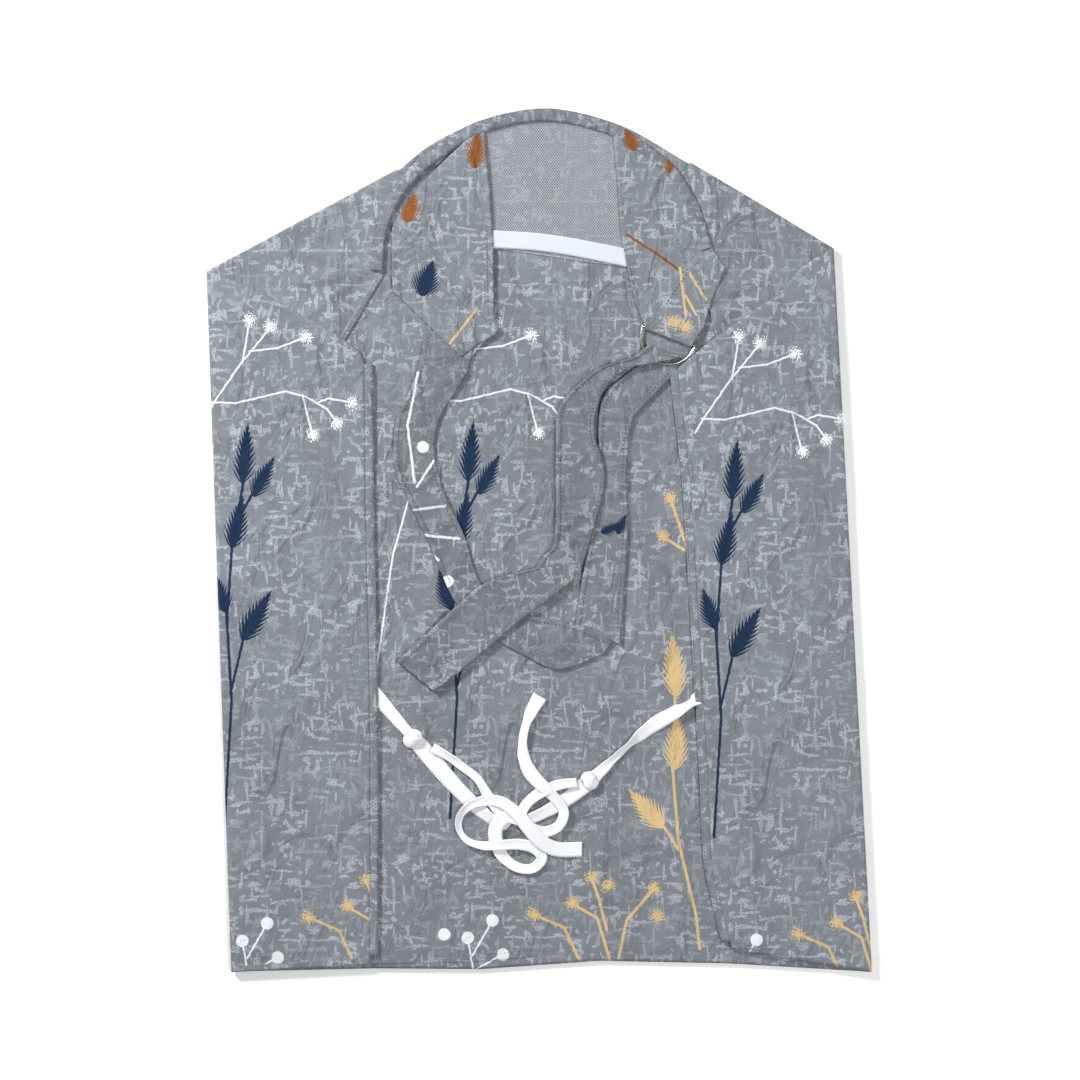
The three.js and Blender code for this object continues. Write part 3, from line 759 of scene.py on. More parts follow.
left_slope = Seam([LEFT_SHOULDER, (-121, 52.5)])
left_corner_free = Seam(
    [(-279, 205), (-205, 262), (-168, 200), (-136, 144), (-137, 118), (-128, 84), (-112, 60)]
)
left_corner = piece_from(
    "left_shoulder_cloth",
    folded_cloth(
        left_slope,
        half_normal(left_slope, (-150, 200)),
        left_corner_free,
        Seam([LEFT_SHOULDER, (-279, 205)]),
        Seam([(-121, 52.5), (-112, 60)]),
        0.6,
        CORNER_LEVEL,
        80,
        90,
        left_pleated,
    ),
    printed_cotton("printed cotton, left shoulder", (-20, -40), tone_and_painted_shade=0.97),
    "front",
    "left_shoulder_corner",
)
thicken(left_corner, 0.7)

right_slope = Seam([(128, 46.5), (185.5, 80.5), RIGHT_SHOULDER])
right_corner_free = Seam([(118, 58), (132, 86), (143, 120), (140, 142), (152, 198), (190, 250), (247, 190)])
right_corner = piece_from(
    "right_shoulder_cloth",
    folded_cloth(
        right_slope,
        half_normal(right_slope, (150, 200)),
        right_corner_free,
        Seam([(128, 46.5), (118, 58)]),
        Seam([RIGHT_SHOULDER, (247, 190)]),
        0.6,
        CORNER_LEVEL,
        80,
        90,
        right_pleated,
    ),
    printed_cotton("printed cotton, right shoulder", (300, 60), drawing=None, tone_and_painted_shade=0.95),
    "front",
    "right_shoulder_corner",
)
thicken(right_corner, 0.7)

for side, ends, node in [
    ("left", [(-135, 141), (-169, 199)], "left_shoulder_hem"),
    ("right", [(139.5, 141), (152.5, 196)], "right_shoulder_hem"),
]:
    seam = Seam(ends)
    points = [seam.at(i / 24) for i in range(25)]
    band = piece_from(
        side + "_shoulder_hem_band",
        tube([spot(p.x, p.y, CORNER_LEVEL + 0.25) for p in points], 5.4, 1.7, square=0.5),
        plain_cotton,
        "front",
        node,
    )
    seam_line = [spot(p.x, p.y, CORNER_LEVEL + 1.1) for p in points[::3]]
    stitched(side + "_shoulder_hem_stitches", seam_line, "front", lift=0)

# ---- Side panels ----
# The cloth and the lining of each side go round the fold and lie back over the front, wider at the
# top than at the hem. The free edge is hemmed, and the top edge is a soft crease left by the shoulder.

LEFT_TOP = [(-282.5, 139), (-232, 160), (-161, 200.5), (-148.5, 216.5)]
LEFT_EDGE = [(-148.5, 216.5), (-147, 360), (-144, 503), (-143.5, 640), (-144, 727.5)]
RIGHT_TOP = [(249.5, 119.5), (223, 136.5), (200, 159.5), (148.5, 196), (129.5, 211), (117, 221.5)]
RIGHT_EDGE = [(117, 221.5), (127.7, 316), (136, 452), (142, 554), (145.8, 635.5), (152, 668), (163, 714.5)]
LEFT_HEM = [(-261.5, 733.5), (-144, 727.5)]
RIGHT_HEM = [(282, 718), (163, 714.5)]

LEFT_SIDE_CREASES = [
    ((-272, 182), (-190, 202), 0.9, 7),
    ((-262, 205), (-232, 330), 0.8, 9),
    ((-268, 470), (-250, 560), 0.9, 7),
    ((-262, 585), (-226, 640), 0.8, 7),
    ((-180, 300), (-172, 560), 0.8, 12),
    ((-240, 640), (-200, 560), 0.7, 9),
    ((-200, 215), (-170, 250), 0.7, 6),
]
RIGHT_SIDE_CREASES = [
    ((196, 175), (150, 215), 0.8, 7),
    ((244, 190), (262, 330), 0.8, 9),
    ((216, 560), (268, 480), 1.0, 8),
    ((222, 590), (272, 540), 0.8, 7),
    ((150, 330), (168, 610), 0.8, 11),
    ((190, 380), (206, 520), 0.6, 10),
    ((180, 690), (250, 650), 0.6, 8),
]
TOP_LEVEL = 4.35
LINING_LEVEL = 3.4


def side_lie(creases, seed):
    def rise(x, drop, share, v):
        slow = 0.5 + 0.5 * noise.noise(Vector((x * 0.014, drop * 0.010, seed)))
        quick = 0.5 + 0.5 * noise.noise(Vector((x * 0.045, drop * 0.03, seed + 4)))
        height = 0.7 * slow + 0.35 * quick
        for start, end, high, width in creases:
            height += 0.8 * ridge(x, drop, start, end, high, width)
        return min(height, 1.6) * ease((1 - share) * 9 + 0.4) * ease((1 - v) * 40)

    return rise


left_side_lie = side_lie(LEFT_SIDE_CREASES, 21.5)
right_side_lie = side_lie(RIGHT_SIDE_CREASES, 27.2)


def rolled_top(rise, level, floor):
    """The top edge turns down over its last few millimetres, as a crease does."""

    def lie(x, drop, share, v):
        near = v * 520 / 3.2
        roll = (level - floor) * (1 - math.sin(min(1.0, near) * math.pi / 2)) * ease(share * 8)
        return rise(x, drop, share, v) - roll

    return lie


for side, fold, x_in, top, edge, hem, rise, shift in [
    ("left", left_fold, 1, LEFT_TOP, LEFT_EDGE, LEFT_HEM, left_side_lie, (0, 0)),
    ("right", right_fold, -1, RIGHT_TOP, RIGHT_EDGE, RIGHT_HEM, right_side_lie, (415, -14)),
]:
    for layer, low, high in [("lining", 1.2, LINING_LEVEL), ("outer", 0.3, TOP_LEVEL)]:
        name = f"{side}_side_{layer}_cloth"
        cloth = folded_cloth(
            fold,
            Vector((x_in, 0, 0)),
            Seam(edge, smooth=True),
            Seam(top, smooth=True),
            Seam(hem),
            low,
            high,
            62,
            200,
            rolled_top(rise, high, 3.1 if layer == "outer" else 3.0),
        )
        made = piece_from(
            name,
            cloth,
            printed_cotton(
                f"printed cotton, {side} side {layer}", shift, tone_and_painted_shade=1.0 if layer == "outer" else 0.93
            ),
            None,
            f"{side}_side_panel_{layer}",
        )
        thicken(made, COTTON)
        middle = fold.at(0.5)
        side + "_side"
        spot(middle.x, middle.y, low + 0.4)
        spot(middle.x, middle.y, high - 0.6)
        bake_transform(made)


def edge_band(name, seam, start, end, level, rise, width, body, node, material, stitch_at, steps=150):
    """A sewn hem along a free edge, with its row of stitches."""
    shares = [mix(start, end, i / steps) for i in range(steps + 1)]
    points = []
    for t in shares:
        p = seam.at(t)
        points.append(spot(p.x, p.y, level + rise(p.x, p.y, 1, min(0.97, max(0.05, t)))))
    band = piece_from(name, tube(points, width, 2.1, square=0.45), material, body, node)
    row = seam.beside(stitch_at, start, end, steps // 3)
    line = []
    for i, p in enumerate(row.points):
        line.append(spot(p.x, p.y, level + 1.05 + rise(p.x, p.y, 1, 0.5)))
    stitched(name + "_stitches", line, body, lift=0)
    return band


edge_band(
    "left_side_edge_hem",
    Seam(LEFT_EDGE, smooth=True).beside(-3.4),
    0.002,
    0.985,
    3.85,
    left_side_lie,
    7.4,
    "left_side",
    "left_side_hem",
    printed_cotton(
        "printed cotton, left edge hem",
        (0, 0),
        lambda finish, p, rough: iter([(BRANCH_WHITE, lines(finish, p, [WHITE_STEMS[3]], 1.9))]),
    ),
    -2.3,
)
edge_band(
    "right_side_edge_hem",
    Seam(RIGHT_EDGE, smooth=True).beside(3.4),
    0.002,
    0.985,
    3.85,
    right_side_lie,
    7.4,
    "right_side",
    "right_side_hem",
    plain_cotton,
    2.3,
)
for side, ends, rise in [
    ("left", [(-260, 730), (-144.5, 724.1)], left_side_lie),
    ("right", [(280.4, 714.4), (163.5, 711)], right_side_lie),
]:
    edge_band(
        side + "_side_bottom_hem_band",
        Seam(ends),
        0.0,
        1.0,
        3.85,
        lambda x, drop, share, v: 0.0,
        7.2,
        side + "_side",
        side + "_side_bottom_hem",
        plain_cotton,
        2.3 if side == "left" else -2.3,
        60,
    )

# ---- Neckline: the boning and its casing ----
# A white polyester boning keeps the neckline open. It runs in a tunnel of the same cotton, sewn to
# the lining, whose cloth puckers a little along the curve.

NECKLINE = Seam(
    [
        (-138, 138.5),
        (-135.5, 108),
        (-127, 83),
        (-109, 57.5),
        (-80, 34),
        (-48, 16),
        (4.5, 6.2),
        (56, 16.5),
        (89.5, 36),
        (114.5, 58),
        (131.5, 88),
        (141.5, 120.5),
    ],
    smooth=True,
)
CASING_WIDTH = 11.0
CASING_LEVEL = 3.6
CASING_HEIGHT = 3.6
RUST_LEAVES = [((81, 37), (72, 15), 11), ((109, 56), (113, 34), 8)]  # across the casing and the ring tab


def puckers(t, amount=0.5):
    """How far the casing's cloth draws in or out, in millimetres, a share t of the way along."""
    broad = noise.noise(Vector((t * 95, 2.2, 9.1)))
    fine = noise.noise(Vector((t * 240, 5.2, 1.1)))
    return amount * broad + 0.4 * amount * fine


casing_line = []
for i in range(301):
    p = NECKLINE.at(i / 300)
    casing_line.append(spot(p.x, p.y, CASING_LEVEL + puckers(i / 300, 0.35)))
casing = piece_from(
    "neckline_casing_cloth",
    tube(
        casing_line,
        lambda t: CASING_WIDTH + puckers(t + 0.3, 0.7),
        lambda t: CASING_HEIGHT + puckers(t, 0.5),
        14,
        0.75,
    ),
    printed_cotton(
        "printed cotton, casing",
        (0, 0),
        lambda finish, p, rough: iter([(RUST, ears(finish, p, RUST_LEAVES))]),
        tone_and_painted_shade=0.86,
    ),
    "front",
    "neckline_casing",
)
for name, offset in [("casing_inner_stitches", 4.2), ("casing_outer_stitches", -4.6)]:
    row = NECKLINE.beside(offset, 0.02, 0.98, 90)
    stitched(name, [spot(p.x, p.y, CASING_LEVEL + 1.35) for p in row.points], "front", lift=0, gauge=0.4)

boning = Finish("white polyester boning")
boning_place = boning.vectors("MULTIPLY", boning.node("TexCoord", out=3), (900, 900, 900))
boning_grain = boning.node("TexNoise", {"Vector": boning_place, "Scale": 1.0})
boning.set(Base_Color=boning.blend((0.72, 0.72, 0.7), (0.84, 0.84, 0.82), boning_grain), Roughness=0.5)
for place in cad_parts["neckline_boning"].material_slots:
    place.material = boning.material

# ---- Net window and its elastic ----
# Fine diamond net fills the middle of the neckline, so that the wearer can look down. Its lower
# edge is held by a flat white elastic, sewn across to the two tabs.

ELASTIC_LINE = Seam([(-48, 111), (10.5, 115.5), (82, 129)], smooth=True)
NET_PITCH = 1.75
NET_LEVEL = 2.35
NET_YARN = 0.52

net_weave = bmesh.new()
bmesh.ops.create_grid(net_weave, x_segments=112, y_segments=112, size=0.5)
bmesh.ops.scale(net_weave, verts=net_weave.verts, vec=(112 * NET_PITCH, 112 * NET_PITCH, 1))
quarter = Matrix.Rotation(math.pi / 4, 3, "Z")
bmesh.ops.rotate(net_weave, verts=net_weave.verts, cent=(0, 0, 0), matrix=quarter)
bmesh.ops.scale(net_weave, verts=net_weave.verts, vec=(0.85, 1.1, 1))
bmesh.ops.translate(net_weave, verts=net_weave.verts, vec=(12, -68, 0))
net_top = [tuple(NECKLINE.at(0.41 + 0.28 * i / 6)[:2]) for i in range(7)]
net_outline = [(-47, 118), (-52, 18), *net_top, (74, 135)]
net_middle = Vector((12, -68, 0))
for start, end in zip(net_outline, net_outline[1:] + net_outline[:1]):
    a = Vector((start[0], -start[1], 0))
    b = Vector((end[0], -end[1], 0))
    across = Vector((-(b - a).y, (b - a).x, 0)).normalized()
    if across.dot(net_middle - a) > 0:
        across = -across
    bmesh.ops.bisect_plane(
        net_weave,
        geom=net_weave.verts[:] + net_weave.edges[:] + net_weave.faces[:],
        plane_co=a,
        plane_no=across,
        clear_outer=True,
    )
for vertex in net_weave.verts:
    x, drop = vertex.co.x, -vertex.co.y
    vertex.co = spot(x, drop, NET_LEVEL + waves(x, drop))

net_yarn = Finish("knitted net")
yarn_place = net_yarn.vectors("MULTIPLY", net_yarn.node("TexCoord", out=3), (1000, 1000, 1000))
yarn = net_yarn.node("TexNoise", {"Vector": yarn_place, "Scale": 1.3, "Detail": 1.0})
yarn_relief = net_yarn.node("Bump", {"Strength": 0.3, "Distance": 0.0002, "Height": yarn})
net_yarn.set(
    Base_Color=net_yarn.blend((0.50, 0.52, 0.55), (0.68, 0.70, 0.74), yarn),
    Roughness=0.75,
    Normal=yarn_relief,
)
net = piece_from("net_window_net", net_weave, net_yarn.material, "front", "net_window")
strands = net.modifiers.new("strands", "WIREFRAME")
strands.thickness = NET_YARN * MM
strands.use_boundary = True
strands.use_even_offset = False

elastic_finish = Finish("white elastic")
elastic_place = elastic_finish.node("TexCoord", out=3)
elastic_place = elastic_finish.vectors("MULTIPLY", elastic_place, (1000, 1000, 1000))
elastic_turned = elastic_finish.node("Mapping", {"Vector": elastic_place, "Rotation": (0, 0, 0.14)})
cords_of_rubber = elastic_finish.node(
    "TexWave", {"Vector": elastic_turned, "Scale": 0.34, "Distortion": 0.4}, out=1, bands_direction="Y"
)
picks = elastic_finish.node("TexWave", {"Vector": elastic_turned, "Scale": 0.9}, out=1, bands_direction="X")
elastic_finish.set(
    Base_Color=elastic_finish.blend(
        (0.58, 0.62, 0.70), (0.74, 0.78, 0.84), cords_of_rubber * 0.7 + picks * 0.3
    ),
    Roughness=0.7,
    Normal=elastic_finish.node(
        "Bump", {"Strength": 0.6, "Distance": 0.0004, "Height": cords_of_rubber * 0.7 + picks * 0.3}
    ),
)
elastic_top = ELASTIC_LINE.beside(7.5)
elastic_foot = ELASTIC_LINE.beside(-7.5)


def elastic_lie(u, v, p):
    return p.x, p.y, 3.0 + waves(p.x, p.y)


elastic = piece_from(
    "net_elastic",
    cut_cloth(
        Seam([elastic_top.at(0), elastic_foot.at(0)]),
        Seam([elastic_top.at(1), elastic_foot.at(1)]),
        elastic_top,
        elastic_foot,
        60,
        8,
        elastic_lie,
    ),
    elastic_finish.material,
    "front",
    "net_elastic_band",
)
thicken(elastic, 1.0)

# ---- Left strap tab ----
# A doubled wedge of the printed cotton, sewn into the inner edge of the casing. The neck strap is
# sewn under its slanting end, and two rows of stitches cross it.

TAB_LEVEL = 3.9
TAB_CREASES = [
    ((-100, 70), (-60, 140), 0.8, 8),
    ((-75, 50), (-50, 160), 0.7, 6),
    ((-115, 120), (-70, 190), 0.5, 5),
    ((92, 70), (112, 170), 0.8, 7),
]


def tab_lie(u, v, p):
    height = TAB_LEVEL + waves(p.x, p.y) * 0.7
    height += sum(ridge(p.x, p.y, a, b, h, w) for a, b, h, w in TAB_CREASES)
    border = min(u, 1 - u, (1 - v) * 1.2)
    return p.x, p.y, height + 0.5 * (1 - ease(border / 0.05)) - 0.4 * (1 - ease(border / 0.015))


def left_tab_print(finish, p, rough):
    yield RUST, ears(finish, p, [((-55, 52), (-52, 16), 12), ((-112, 98), (-107, 66), 13)])
    yield RUST, lines(finish, p, [[(-107, 68), (-88, 44), (-70, 30)]], 1.6)
    yield NAVY, ears(finish, p, [((-100, 160), (-90, 129), 17)])
    yield GOLD, lines(finish, p, [[(-53, 171), (-76, 200)]], 1.8)


left_tab = piece_from(
    "left_strap_tab_cloth",
    cut_cloth(
        Seam([(-125, 103), (-125, 130), (-124.5, 155.5)]),
        Seam([(-47, 18), (-42, 70), (-39, 123), (-38.5, 176.5), (-33, 189.5)]),
        NECKLINE.beside(4.0, 0.155, 0.405),
        Seam([(-124.5, 155.5), (-95, 184), (-67, 211.5), (-33, 189.5)]),
        60,
        80,
        tab_lie,
    ),
    printed_cotton("printed cotton, left tab", (0, 0), left_tab_print),
    "front",
    "left_strap_tab",
)
thicken(left_tab, 1.1)
left_tab_rows = [[(-119, 106), (-40, 195)], [(-115, 103), (-36.5, 190)], [(-45, 100), (-43.5, 176)]]
for i, ends in enumerate(left_tab_rows):
    seam = Seam(ends)
    line = []
    for step in range(31):
        p = seam.at(step / 30)
        line.append(spot(*tab_lie(0.5, 0.5, p)))
    stitched(f"left_tab_stitches_{i + 1}", line, "front", lift=0.65)

# ---- Ring tab and D-ring ----
# The right-hand tab ends in a loop of cloth that holds a nickel-plated wire D-ring by its bar. The
# neck strap comes up through the ring and folds back over its bow.

BAR_SLOPE = 0.36
BAR = (109.5, 194)
RING_REACH = 23.75
RING_LEVEL = 4.1
along_bar = Vector((math.cos(BAR_SLOPE), math.sin(BAR_SLOPE), 0))
out_of_bar = Vector((-math.sin(BAR_SLOPE), math.cos(BAR_SLOPE), 0))


def ring_spot(across, out, height):
    p = Vector((BAR[0], BAR[1], height)) + along_bar * across + out_of_bar * out
    return (p.x, p.y, p.z)


LOOP_RADIUS = 1.75
LOOP_REACH = 21.3  # half the loop's length along the bar
FLAT_SHARE = 0.88  # how much of the tab lies flat before it turns round the bar


def ring_tab_lie(u, v, p):
    if v <= FLAT_SHARE:
        x, drop, height = tab_lie(u, min(v, 0.8), p)
        lifted = ease((v / FLAT_SHARE - 0.8) / 0.2)
        return x, drop, mix(height, RING_LEVEL + LOOP_RADIUS, lifted)
    turn = (v - FLAT_SHARE) / (1 - FLAT_SHARE) * math.pi * 1.2
    base = Vector(ring_spot(mix(-LOOP_REACH, LOOP_REACH, u), 0, 0))
    out = base + out_of_bar * LOOP_RADIUS * math.sin(turn)
    return out.x, out.y, RING_LEVEL + LOOP_RADIUS * math.cos(turn)


def ring_tab_print(finish, p, rough):
    yield RUST, ears(finish, p, RUST_LEAVES)
    yield RUST, lines(finish, p, [[(74, 108), (96, 122), (121, 140)]], 2.0)
    sprig = [[(119, 136), (124, 176)], [(126, 139), (141, 163)], [(124, 160), (133, 176)]]
    yield GOLD, lines(finish, p, sprig, 2.0)
    yield GOLD, spots(finish, rough, [(124, 186), (114, 182)], 10)


class TabSides:
    """The ring tab's two sides, which reach the bar before its cloth turns round it."""

    def __init__(self, points):
        self.seam = Seam(points)

    def at(self, t):
        return self.seam.at(t / FLAT_SHARE)


bar_left = ring_spot(-LOOP_REACH, 0, 0)[:2]
bar_right = ring_spot(LOOP_REACH, 0, 0)[:2]
ring_tab = piece_from(
    "ring_tab_cloth",
    cut_cloth(
        TabSides([(62, 20), (66, 60), (69, 104), (74, 135), (81, 163), bar_left]),
        TabSides([(139, 118), (149, 125), (157.5, 136.5), (146, 164), (139, 187), bar_right]),
        NECKLINE.beside(4.0, 0.695, 0.985),
        Seam([bar_left, bar_right]),
        60,
        110,
        ring_tab_lie,
    ),
    printed_cotton("printed cotton, ring tab", (0, 0), ring_tab_print),
    "front",
    "ring_tab",
)
thicken(ring_tab, 0.9)
ring_tab_rows = [[(99, 186), (104, 172), (127, 138)], [(97, 84), (110, 92), (117, 113), (127, 142)]]
for i, ends in enumerate(ring_tab_rows):
    seam = Seam(ends, smooth=True)
    line = []
    for step in range(31):
        p = seam.at(step / 30)
        height = tab_lie(0.5, 0.5, p)[2]
        close = ease(1 - abs((p.y - BAR[1]) / 16))
        line.append(spot(p.x, p.y, mix(height, RING_LEVEL + LOOP_RADIUS, close)))
    stitched(f"ring_tab_stitches_{i + 1}", line, "front", lift=0.6)

ring_line = []
for i in range(49):
    turn = math.pi * i / 48
    ring_line.append(spot(*ring_spot(-RING_REACH * math.cos(turn), RING_REACH * math.sin(turn), RING_LEVEL)))
for i in range(1, 24):
    ring_line.append(spot(*ring_spot(mix(RING_REACH, -RING_REACH, i / 24), 0, RING_LEVEL)))
ring_wire = tube(ring_line + ring_line[:1], 2.0, 2.0, 14, 1.0, closed=False)
nickel = Finish("nickel-plated wire")
nickel_place = nickel.vectors("MULTIPLY", nickel.node("TexCoord", out=3), (1000, 1000, 1000))
wear = nickel.node("TexNoise", {"Vector": nickel_place, "Scale": 0.8, "Detail": 3.0})
nickel.set(
    Base_Color=nickel.blend((0.78, 0.74, 0.68), (0.62, 0.56, 0.48), wear),
    Roughness=wear * 0.2 + 0.12,
    Metallic=1.0,
)
d_ring = piece_from("nickel_d_ring", ring_wire, nickel.material, "ring", "d_ring")

# ---- Neck strap ----
# One long doubled strap with a row of stitches along each edge. It is sewn under the left tab, sweeps
# down and across, turns up at a corner, passes through the ring and falls back as a free end.

STRAP_LEVEL = 2.75
TAIL_LEVEL = 4.8
TURNED_UNDER = 16  # millimetres of the strap's width rolled under where it falls from the ring


def strap_lie(creases=(), settle=1.0):
    def lie(u, v, p):
        border = min(u, 1 - u)
        crown = 0.8 * math.exp(-(((border - 0.06) / 0.06) ** 2))
        lift = sum(ridge(p.x, p.y, a, b, h, w) for a, b, h, w in creases)
        return p.x, p.y, p.z + settle * waves(p.x, p.y) + crown + lift

    return lie


def strap_run(
    name,
    left,
    right,
    body,
    nodes,
    creases,
    drawing,
    shift,
    down,
    tone_and_painted_shade,
    blend=None,
    rolled=None,
):
    """One run of the strap between its two edges, each a line of x, drop and height."""
    left_edge = Seam(left, smooth=True)
    right_edge = Seam(right, smooth=True)
    lie = strap_lie(creases)

    def rolled_lie(u, v, p):
        """The strap's lie where some of its cloth is turned under at the right-hand edge."""
        under = rolled(v)
        if under < 0.5:
            return lie(u, v, p)
        a, b = left_edge.at(v), right_edge.at(v)
        shown = (b - a).length / ((b - a).length + under)
        if u <= shown:
            return lie(u / shown, v, a.lerp(b, u / shown))
        back = (u - shown) / (1 - shown)
        x, drop, height = lie(0.5, v, b.lerp(a, back * under / (b - a).length))
        return x, drop, height - 1.25 * ease(back / 0.3)

    cloth = cut_cloth(
        left_edge,
        right_edge,
        Seam([left_edge.at(0), right_edge.at(0)]),
        Seam([left_edge.at(1), right_edge.at(1)]),
        30,
        down,
        rolled_lie if rolled else lie,
    )
    # The strap's tone darkens its cloth. This is painted shade for the shadow that lies on and inside the
    # strap.
    strap_cotton = printed_cotton("printed cotton, " + name, shift, drawing, tone_and_painted_shade=tone_and_painted_shade)
    made = piece_from(name, cloth, strap_cotton, None if blend else body, *nodes)
    thicken(made, 1.0)
    rows = []
    for edge, other in [(left_edge, right_edge), (right_edge, left_edge)]:
        line = []
        for i in range(81):
            t = mix(0.01, 0.99, i / 80)
            a, b = edge.at(t), other.at(t)
            p = a.lerp(b, min(0.3, 4.0 / max(8.0, (b - a).length)))
            x, drop, height = lie(0.09, 0.5, p)
            line.append(spot(x, drop, height))
        side = "left" if edge is left_edge else "right"
        rows.append(stitched(f"{name}_{side}_stitches", line, None if blend else body, lift=0.5))
    if blend:
        for piece in [made, *rows]:
            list(blend[:2])
            spot(*blend[2])
            spot(*blend[3])
            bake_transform(piece)
    return made


def with_level(points, level):
    return [(x, drop, level) for x, drop in points]


def sweep_print(finish, p, rough):
    stems = [[(-103, 225), (-112, 270), (-106, 318)], [(-104, 322), (-90, 300)]]
    yield BRANCH_WHITE, lines(finish, p, stems, 2.0)
    yield BRANCH_WHITE, spots(finish, p, [(-99, 288), (-92, 393), (-78, 402)], 10)
    rungs = [[(-118, 343), (-80, 338)], [(-107, 362), (-68, 366)], [(-99, 372), (-86, 384)]]
    yield BRANCH_WHITE, lines(finish, p, rungs, 2.2)


# The tones given to the strap runs below (0.76, 0.86, 0.76, 0.80) are painted shade: they darken each run's
# cloth to stand in for the strap's shadow.
left_run = strap_run(
    "neck_strap_sweep",
    with_level(
        [(-98, 190), (-102, 217), (-109, 237), (-121, 264), (-124, 290), (-121, 312), (-111, 334)]
        + [(-91, 376), (-70, 422), (-40, 449), (-13, 465), (17, 477), (55, 463)],
        STRAP_LEVEL,
    ),
    with_level(
        [(-50, 188), (-57, 209), (-64, 230), (-84, 262), (-89, 290), (-81, 326), (-64, 363), (-52, 400)]
        + [(-34, 420), (-8, 431), (29, 438), (62, 454)],
        STRAP_LEVEL,
    ),
    "front",
    ["neck_strap_left_run"],
    [
        ((-120, 320), (-84, 300), 1.2, 6),
        ((-116, 340), (-78, 334), 1.8, 4),
        ((-105, 356), (-72, 352), 1.2, 4),
        ((-10, 446), (30, 462), 1.4, 6),
        ((-88, 232), (-60, 222), 1.0, 6),
    ],
    sweep_print,
    (0, 0),
    170,
    0.76,
)
strap_run(
    "neck_strap_rise",
    with_level(
        [(30, 441), (37, 395), (45, 350), (50, 310), (50, 275), (54, 245), (74, 226), (93, 214)],
        STRAP_LEVEL,
    ),
    with_level(
        [(69, 456), (71, 424), (74, 376), (75, 346), (74, 310), (78, 268), (92, 250), (118, 222)],
        STRAP_LEVEL,
    ),
    "front",
    ["neck_strap_rise_run"],
    [((52, 262), (80, 262), 1.2, 3), ((56, 330), (74, 318), 1.0, 5), ((84, 240), (112, 226), 1.0, 5)],
    lambda f, p, r: iter([(NAVY, ears(f, p, [((52, 361), (73, 352), 8), ((66, 362), (74, 344), 8)]))]),
    (0, 0),
    130,
    0.86,
    blend=("front", "ring", (72, 262, 3), (98, 222, 3)),
)
strap_run(
    "neck_strap_ring_fall",
    [ring_spot(-14, 25, 1.6), ring_spot(-14, 15, 1.6), ring_spot(-14, 12.8, 3.6), ring_spot(-14, 14.5, 5.5)]
    + [(78, 213, 5.4), (60, 218, 5.0), (43, 227, 4.6), (17, 254, 4.2), (14, 290, 4.2), (13, 365, 4.2)]
    + [(4, 380, 4.2), (-4, 392, 4.2)],
    [ring_spot(14, 25, 1.6), ring_spot(14, 15, 1.6), ring_spot(14, 12.8, 3.6), ring_spot(14, 14.5, 5.5)]
    + [(96, 217, 6.6), (76, 221, 6.8), (60, 233, 6.0), (50, 252, 5.2), (47, 276, 4.8), (53, 297, 4.7)]
    + [(56, 316, 4.6), (50, 345, 4.4), (37, 387, 4.2)],
    "ring",
    ["neck_strap_ring_fold", "neck_strap_ring_run"],
    [((20, 372), (54, 352), 1.4, 5), ((14, 360), (40, 340), 0.8, 5), ((30, 250), (48, 300), 0.9, 7)],
    None,
    (130, 17),
    180,
    0.76,
    rolled=lambda v: TURNED_UNDER * ease((v - 0.24) / 0.1) * ease((0.92 - v) / 0.12),
)
strap_run(
    "neck_strap_free_end",
    with_level([(-4, 391.5), (-20, 395), (-49, 405), (-78, 430), (-121, 470)], TAIL_LEVEL),
    with_level([(37, 386.5), (31, 398), (8, 417), (-17, 436), (-50, 464), (-89, 496)], TAIL_LEVEL),
    "strap_tail",
    ["neck_strap_tail"],
    [((10, 392), (-20, 424), 0.8, 8)],
    lambda f, p, r: iter([(GOLD, spots(f, r, [(31, 402)], 7))]),
    (0, 0),
    110,
    0.80,
    blend=("ring", "strap_tail", (19, 378, 4), (12, 394, 4)),
)
# ---- Waist ties ----
# White cotton twill tape, half an inch wide, with a fine scalloped selvage. One tape is sewn into
# each side hem, knotted into a long loop, and a third tape joins the two loops in a loose bow.

TAPE_WIDTH = 12.7
TAPE_LEVEL = 2.5
TAPE_STEP = 1.1

tape_finish = Finish("white twill tape")
tape_place = tape_finish.vectors("MULTIPLY", tape_finish.node("TexCoord", out=3), (1000, 1000, 1000))
twill = tape_finish.node(
    "TexWave",
    {"Vector": tape_place, "Scale": 0.55, "Distortion": 0.6},
    out=1,
    bands_direction="DIAGONAL",
)
fleck = tape_finish.node("TexNoise", {"Vector": tape_place, "Scale": 0.9, "Detail": 2.0})
tape_finish.set(
    Base_Color=tape_finish.blend((0.72, 0.72, 0.77), (0.86, 0.86, 0.89), twill * 0.35 + fleck * 0.65),
    Roughness=0.85,
    Specular_IOR_Level=0.2,
    Normal=tape_finish.node(
        "Bump", {"Strength": 0.5, "Distance": 0.00025, "Height": twill * 0.6 + fleck * 0.4}
    ),
)


class Route(Seam):
    """A tape's route: each point also has a roll about the route in degrees and a share of the width."""

    def __init__(self, points):
        super().__init__([(x, drop, level) for x, drop, level, roll, share in points], smooth=True)
        self.rolls = [(roll, share) for *_, roll, share in points]

    def twist(self, t):
        place = max(0.0, min(0.9999, t)) * (len(self.rolls) - 1)
        i = int(place)
        part = ease(place - i)
        return (
            mix(self.rolls[i][0], self.rolls[i + 1][0], part),
            mix(self.rolls[i][1], self.rolls[i + 1][1], part),
        )


